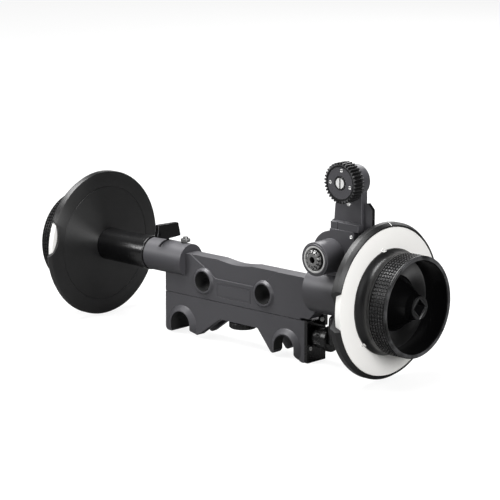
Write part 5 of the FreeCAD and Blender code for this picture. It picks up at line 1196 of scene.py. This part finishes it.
@dataclass
class Body:
    """Main body, bridge adapter and what is fixed to them."""

    plate_low: Colour = (-16.8, -5.96, 26.45)
    plate_high: Colour = (16.8, -5.42, 36.65)
    plate_border: float = 0.9
    plate_line: tuple[float, float] = (0.3, 0.15)
    rounding: float = 0.35
    bores: tuple[float, float] = (-30.0, 30.0)
    bore_radius: float = 7.53
    saddles: tuple[float, float] = (-52.0, 52.0)
    saddle_radius: float = 9.6
    rod_height: float = 35.75
    guide_length: float = 4.6
    guide_wall: float = 2.2
    seam_height: float = 22.25
    seam_right: float = 65.4
    front: float = -6.0
    seam_gap: float = 0.4
    seam_depth: float = 0.9
    pin_axis: tuple[float, float] = (-2.3, 1.9)

    def name_plate(self, shop: Workshop) -> None:
        """Bare plate in the label recess, with a thin sunk frame line.

        Args:
            shop: The workshop.
        """
        made = to_object("blank_plate", slab(self.plate_low, self.plate_high))
        front, border, (wide, deep) = self.plate_low[1], self.plate_border, self.plate_line
        left, low = self.plate_low[0] + border, self.plate_low[2] + border
        right, high = self.plate_high[0] - border, self.plate_high[2] - border
        for x0, x1, z0, z1 in ((left, right, low, low + wide), (left, right, high - wide, high),
                               (left, left + wide, low, high), (right - wide, right, low, high)):
            carve(made, slab((x0, front - 1, z0), (x1, front + deep, z1)))
        shop.mount(reshaped(made, width=0.06, steps=1), GREY, "frame")

    def rod_guides(self, shop: Workshop) -> None:
        """Short collars behind the two bores for the light rods, with painted shade on their bore walls.

        Args:
            shop: The workshop.
        """
        back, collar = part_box("main_body")[1].y / MM, self.guide_length
        bore, outer = self.bore_radius, self.bore_radius + self.guide_wall
        profile = [(-0.05, bore), (-0.05, outer), (collar - 0.6, outer), (collar - 0.15, outer - 0.15),
                   (collar, outer - 0.6), (collar, bore + 0.5), (collar - 0.5, bore)]
        for word, x in zip(("left", "right"), self.bores):
            made = to_object(f"{word}_rod_guide", turned(profile, ROUND))
            shop.mount(made, GREY, "frame", place=stand((0, 1, 0), (x, back, self.rod_height)))
            shop.blacken_bore(made, (x, self.rod_height), bore)

    def seam_cutters(self) -> list[Mesh]:
        """Slim blocks that leave a shadow gap between the body and the adapter below it.

        Returns:
            The meshes.
        """
        low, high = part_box("main_body")
        left, front, back, deep = low.x / MM, self.front, high.y / MM, self.seam_depth
        bottom, right, top = self.seam_height - 1, self.seam_right, self.seam_height + self.seam_gap
        return [slab((left - 1, front - 1, bottom), (right, front + deep, top)),
                slab((left - 1, back - deep, bottom), (right, back + 1, top)),
                slab((left - 1, front - 1, bottom), (left + deep, back + 1, top))]

    def roll_pin(self, shop: Workshop) -> None:
        """Slit spring pin in the end block.

        Args:
            shop: The workshop.
        """
        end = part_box("adapter_end_block")[1].x / MM
        profile = [(-1.9, 0.75), (-1.9, 1.42), (0.15, 1.42), (0.3, 1.3), (0.3, 0.85), (0.2, 0.75)]
        made = to_object("roll_pin", turned(profile, SMALL_ROUND))
        carve(made, slab((0.2, -0.14, -3), (3, 0.14, 2)))
        shop.mount(made, CLIP_STEEL_PAINTED_SHINE, "frame", place=stand((1, 0, 0), (end, *self.pin_axis)))

    def build(self, shop: Workshop) -> None:
        """Dresses the body, the adapter, the sleeve and the extension.

        Args:
            shop: The workshop.
        """
        body = shop.refine("main_body", GREY, self.rounding, cutters=self.seam_cutters())
        # Painted shade on the walls of the rod bores and of the saddles.
        for x in self.bores:
            shop.blacken_bore(body, (x, self.rod_height), self.bore_radius)
        adapter = shop.refine("bridge_adapter", GREY, self.rounding)
        for x in self.saddles:
            shop.blacken_bore(adapter, (x, 0.0), self.saddle_radius, open_below=True)
        self.rod_guides(shop)
        for node, *look in (
                ("adapter_end_block", BLACK, 0.3), ("stop_bracket", BLACK, 0.2),
                ("rod_clamp_jaw", BLACK, 0.3), ("coupling_sleeve", GREY_SMOOTH, 0.3),
                ("extension_tube", BLACK_TURNED, 0.2), ("spacer_ring", RUBBER, 0.1),
                ("bracket_screw", CLIP_STEEL_PAINTED_SHINE, 0.08, 1)):
            shop.refine(node, *look)
        shop.keep(DARK_STEEL, "rod_lock_screws")
        shop.keep(BLACK, "dovetail_key")
        shop.keep(BRONZE, "shaft_bearings")
        self.name_plate(shop)
        self.roll_pin(shop)


@dataclass
class GearHead:
    """Gear housing, pivot and swing arm with its lens gear."""

    teeth: int = 34
    module: float = 0.8
    pressure_deg: float = 20.0
    gear_front: float = -22.0
    gear_width: float = 9.6
    recess_radius: float = 11.6
    recess_depth: float = 2.2
    bore: float = 3.0

    def tooth(self, root: float, pitch: float, tip: float) -> Mesh:
        """One tooth with chamfered ends.

        Args:
            root: Radius at its root in millimetres.
            pitch: Radius of the pitch circle.
            tip: Radius at its tip.

        Returns:
            The tooth's mesh, along Z.
        """
        half, slope = math.pi * self.module / 4, math.tan(math.radians(self.pressure_deg))
        foot, wide, edge = half + (pitch - root) * slope, self.gear_width, tip - 0.15
        flank = [(root - 0.4, foot), (root, foot), (pitch, half + 0.04),
                 (edge, half - (edge - pitch) * slope + 0.1), (tip, half - (tip - pitch) * slope)]
        rings = []
        for height, back in ((0.0, 0.22), (0.3, 0.0), (wide - 0.3, 0.0), (wide, 0.22)):
            right = [(max(r - (back if r > root else 0.0), root - 0.4), w) for r, w in flank]
            rings.append([(r, w, height) for r, w in right] + [(r, -w, height) for r, w in reversed(right)])
        # Both tooth ends are marked, so they turn lighter: a painted highlight, and partly handling marks.
        return loft(rings, (1.0, 1.0))

    def gear(self, shop: Workshop) -> None:
        """Lens gear: a turned rim and a ring of chamfered teeth.

        Args:
            shop: The workshop.
        """
        pitch, wide, recess = self.teeth * self.module / 2, self.gear_width, self.recess_depth
        root, tip = pitch - 1.25 * self.module, pitch + self.module
        profile = [(0.0, self.recess_radius), (0.0, root - 0.2), (0.25, root + 0.05),
                   (wide - 0.25, root + 0.05), (wide, root - 0.2), (wide, self.bore), (recess, self.bore),
                   (recess, self.recess_radius)]
        rim = to_object("lens_gear_rim", turned(profile, 4 * self.teeth))
        teeth = to_object("lens_gear_teeth", self.tooth(root, pitch, tip), hard_deg=30.0)
        shop.array.repeat(teeth, shop.paint(GEAR_BLACK), self.teeth)
        place = stand((0, 1, 0), (GEAR_AXIS[0], self.gear_front, GEAR_AXIS[1]))
        shop.mount(rim, GEAR_BLACK, "drive", "lens_gear", place=place)
        shop.mount(teeth, GEAR_BLACK, "drive", place=place)

    def edge_band(self, shop: Workshop, node: str, finish: Finish, share: float, bevel: float) -> None:
        """Thin band around the front edge of a round piece that faces -Y.

        Args:
            shop: The workshop.
            node: The round piece, which gives the band its axis and size.
            finish: The band's finish.
            share: Width of the band as a share of the piece's radius.
            bevel: Bevel of its outer edge in millimetres.
        """
        low, high = (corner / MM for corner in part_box(node))
        radius, middle = (high.x - low.x) / 2, (low + high) / 2
        inner, outer, proud, back = radius * (1 - share), radius + 0.04, 0.05, -0.6
        profile = [(proud, inner), (proud, outer - bevel), (proud - bevel, outer), (back, outer),
                   (back, inner)]
        made = to_object(f"{node}_edge", turned(profile, ROUND))
        shop.mount(made, finish, shop.body_of[node], place=stand((0, -1, 0), (middle.x, low.y, middle.z)))

    def lever(self, shop: Workshop) -> None:
        """Thumb lever: grey on the faces that look to the front, gloss black elsewhere as painted shade on
        its sides.

        Args:
            shop: The workshop.
        """
        made = shop.refine("arm_lever", GLOSS, 0.25)
        grey = shop.second(made, GREY)
        # Faces that do not look to the front stay gloss black: painted shade on the lever's sides.
        for face in made.data.polygons:
            if face.normal.y < -0.6:
                face.material_index = grey

    def screws(self, shop: Workshop) -> None:
        """Bright screws on the arm and its foot.

        Args:
            shop: The workshop.
        """
        for name, foot, head, angle in (
                ("arm_screw", (112.5, -8.6, 113.8), ScrewHead(1.5, 0.7, slot=0.4), 20.0),
                ("foot_screw", (119.6, -14.0, 92.0), ScrewHead(1.3, 0.6, socket=0.6), 0.0)):
            shop.mount(head.build(name, stand((0, -1, 0), foot), angle), CLIP_STEEL_PAINTED_SHINE, "arm")

    def build(self, shop: Workshop) -> None:
        """Dresses the housing, the arm and the train.

        Args:
            shop: The workshop.
        """
        for node, width in (("gear_housing", 0.3), ("drum_cover", 0.3), ("swing_arm", 0.35),
                            ("arm_clamp_bar", 0.25), ("arm_rear_cover", 0.2), ("gear_face_plate", 0.12)):
            shop.refine(node, GREY, width)
        shop.refine("pivot_ring", BRIGHT, 0.2)
        self.edge_band(shop, "pivot_ring", GREY, share=0.12, bevel=0.35)
        # A near-black band around the centre screw: a painted shadow ring.
        self.edge_band(shop, "centre_screw", PAINTED_SHADE, share=0.15, bevel=0.05)
        # Painted shade on the floors of the nut's slots and the screws' slots.
        for node, finish, width, steps, depth, axis, reach in (
                ("pivot_nut", NUT, 0.12, 1, 1.6, PIVOT, 9.0),
                ("centre_screw", CLIP_STEEL_PAINTED_SHINE, 0.15, 2, 0.3, GEAR_AXIS, 4.2),
                ("face_plate_screws", CLIP_STEEL_PAINTED_SHINE, 0.08, 1, 0.25, GEAR_AXIS, 12.0)):
            shop.darken(shop.refine(node, finish, width, steps), node, depth, axis, reach)
        shop.refine("arm_lever_pin", DARK_STEEL, 0.1, 1)
        shop.refine("cover_screws", DARK_STEEL, 0.12, 1)
        shop.keep(STEEL, "pivot_journal", "output_shaft", "drive_spindle", "idler_pins")
        shop.keep(BRONZE, "drive_bush", "idler_bush_1", "idler_bush_2", "idler_bush_3")
        shop.keep(GEAR_STEEL, "output_gear", "sun_gear", "drive_wheel", "idler_gear_1", "idler_gear_2",
                  "idler_gear_3")
        self.gear(shop)
        self.lever(shop)
        self.screws(shop)


@dataclass
class Controls:
    """Locks, the rod clamp's knob and the shaft's hidden parts."""

    barrel_radius: float = 7.5
    barrel_start: float = 73.6
    barrel_length: float = 7.9
    knurl_count: int = 30
    knurl_rows: int = 6
    tab_width: float = 1.35

    def clamp_knurl(self, shop: Workshop) -> None:
        """Square studs around the clamp knob's barrel.

        Args:
            shop: The workshop.
        """
        pitch, radius = self.barrel_length / self.knurl_rows, self.barrel_radius
        one = stud((radius - 0.15, radius + 0.3), pitch / 2, pitch, TURN * radius / self.knurl_count)
        made = to_object("clamp_knob_knurl", one, hard_deg=20.0)
        shop.array.repeat(made, shop.paint(BLACK), self.knurl_count, self.knurl_rows, pitch)
        shop.mount(made, BLACK, "clamp_knob", place=stand((1, 0, 0), (self.barrel_start, *CLAMP_AXIS)))

    def build(self, shop: Workshop) -> None:
        """Dresses every control.

        Args:
            shop: The workshop.
        """
        shop.refine("lock_lever", GLOSS, 0.45)
        shop.refine("lock_pawl", BUTTON, 0.2)
        shop.refine("rod_clamp_knob", BLACK, 0.2)
        tab, middle = shop.refine("clamp_tab", TAB, 0.35), CLAMP_AXIS[0] * MM
        for vert in tab.data.vertices:
            vert.co.y = middle + (vert.co.y - middle) * self.tab_width
        shop.refine("adapter_lock_knob", BLACK, 0.15, 1)
        shop.keep(STEEL, "main_shaft", "extension_shaft", "shaft_coupling", "lock_ring")
        shop.keep(GEAR_STEEL, "shaft_gear")
        self.clamp_knurl(shop)


# ---- the studio --------------------------------------------------------------------------------
@dataclass
class Studio:
    """Pale floor, soft light and the camera."""

    floor_z: float = -8.75
    floor_size: float = 12.0
    floor_tone: float = 0.17
    floor_lift: float = 0.86
    target: Colour = (6.5, 4.65, 63.13)
    azimuth_deg: float = 42.94
    elevation_deg: float = 12.42
    distance: float = 1882.4
    lens: float = 186.07
    world_strength: float = 0.17
    glossy_strength: float = 0.13

    def floor(self) -> None:
        """The floor, which the camera sees as nearly white, with the object's shadow on it."""
        bm = bmesh.new()
        bmesh.ops.create_grid(bm, x_segments=1, y_segments=1, size=self.floor_size / 2)
        bm.transform(Matrix.Translation((0, 0, self.floor_z * MM)))
        made = to_object("studio_floor", bm)
        paint = bpy.data.materials.new("floor_paper")
        paint.use_nodes = True
        wire = Wiring(paint.node_tree)
        seen = wire.add("ShaderNodeLightPath").outputs["Is Camera Ray"]
        for key, value in (("Base Color", (*[self.floor_tone] * 3, 1.0)), ("Roughness", 0.9),
                           ("Specular IOR Level", 0.1), ("Emission Color", PURE_WHITE),
                           ("Emission Strength", wire.maths("MULTIPLY", seen, self.floor_lift))):
            wire.feed(paint.node_tree.nodes["Principled BSDF"].inputs[key], value)
        made.data.materials.append(paint)
        made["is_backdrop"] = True

    def world(self) -> None:
        """Soft light from all round, white where the camera sees it."""
        world = bpy.data.worlds.new("studio")
        world.use_nodes = True
        bpy.context.scene.world = world
        wire, ground = Wiring(world.node_tree), world.node_tree.nodes["Background"].inputs
        path, strength = wire.add("ShaderNodeLightPath").outputs, self.world_strength
        for ray, share in (("Is Glossy Ray", self.glossy_strength), ("Is Camera Ray", 1.0)):
            strength = wire.add("ShaderNodeMix", {0: path[ray], 2: strength, 3: share}).outputs[0]
        wire.feed(ground["Color"], PURE_WHITE)
        wire.feed(ground["Strength"], strength)

    @staticmethod
    def aimed(name: str, data: bpy.types.ID, place: Vector, ahead: Vector) -> Piece:
        """Places a lamp or a camera.

        Args:
            name: Name of the object.
            data: The lamp or the camera.
            place: Where it stands, in metres.
            ahead: Direction in which it looks.

        Returns:
            The object.
        """
        made = bpy.data.objects.new(name, data)
        made.location = place
        made.rotation_euler = ahead.to_track_quat("-Z", "Y").to_euler()
        bpy.context.scene.collection.objects.link(made)
        return made

    def lamps(self) -> None:
        """Square soft lights: name, place and aim in metres, side in metres, power in watts."""
        for name, place, aim, size, power in (
                ("top_light", (-0.25, -0.15, 1.1), (0.0, 0.0, 0.05), 0.8, 32.0),
                ("left_light", (-1.0, -1.1, 0.7), (0.0, 0.0, 0.05), 0.5, 8.0),
                ("back_light", (-0.6, 1.5, 0.9), (0.0, 0.0, 0.05), 0.9, 14.0),
                ("right_light", (1.5, -0.6, 0.6), (0.1, 0.0, 0.05), 0.6, 22.0)):
            light = bpy.data.lights.new(name, "AREA")
            light.size = size
            light.energy = power
            self.aimed(name, light, Vector(place), Vector(aim) - Vector(place))

    def camera(self) -> None:
        """The camera: a long lens, three-quarter from the near handwheel's side, slightly above."""
        turn, rise = math.radians(self.azimuth_deg), math.radians(self.elevation_deg)
        back = Vector((math.sin(turn) * math.cos(rise), -math.cos(turn) * math.cos(rise), math.sin(rise)))
        data = bpy.data.cameras.new("camera")
        data.lens = self.lens
        data.sensor_width = 36.0
        data.clip_start, data.clip_end = 0.05, 50.0
        place = (Vector(self.target) + back * self.distance) * MM
        bpy.context.scene.camera = self.aimed("camera", data, place, -back)

    def build(self) -> None:
        """Sets up the whole studio."""
        bpy.context.scene.view_settings.view_transform = "Standard"
        self.floor()
        self.world()
        self.lamps()
        self.camera()


def corners(box: tuple[Vector, Vector]) -> list[list[float]]:
    """A bounding box as plain lists of numbers."""
    return [list(corner) for corner in box]


def main() -> None:
    """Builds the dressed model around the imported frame."""
    logging.basicConfig(level=logging.INFO, format="%(name)s: %(message)s")
    shop = Workshop(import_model())
    packed = corners(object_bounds())
    Studio().build()
    Body().build(shop)
    for side, face, seat, notch, index in (
            (Side.NEAR, 142.8, 12.0, 1.5, 1.8), (Side.FAR, -147.9, 9.5, 11.4, 0.0)):
        Handwheel(side, face).build(shop)
        IndexDish(side, face, seat, notch, -side.value * index).build(shop)
    GearHead().build(shop)
    Controls().build(shop)
    {"frame": packed, "model": corners(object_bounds())}


if __name__ == "__main__":
    main()
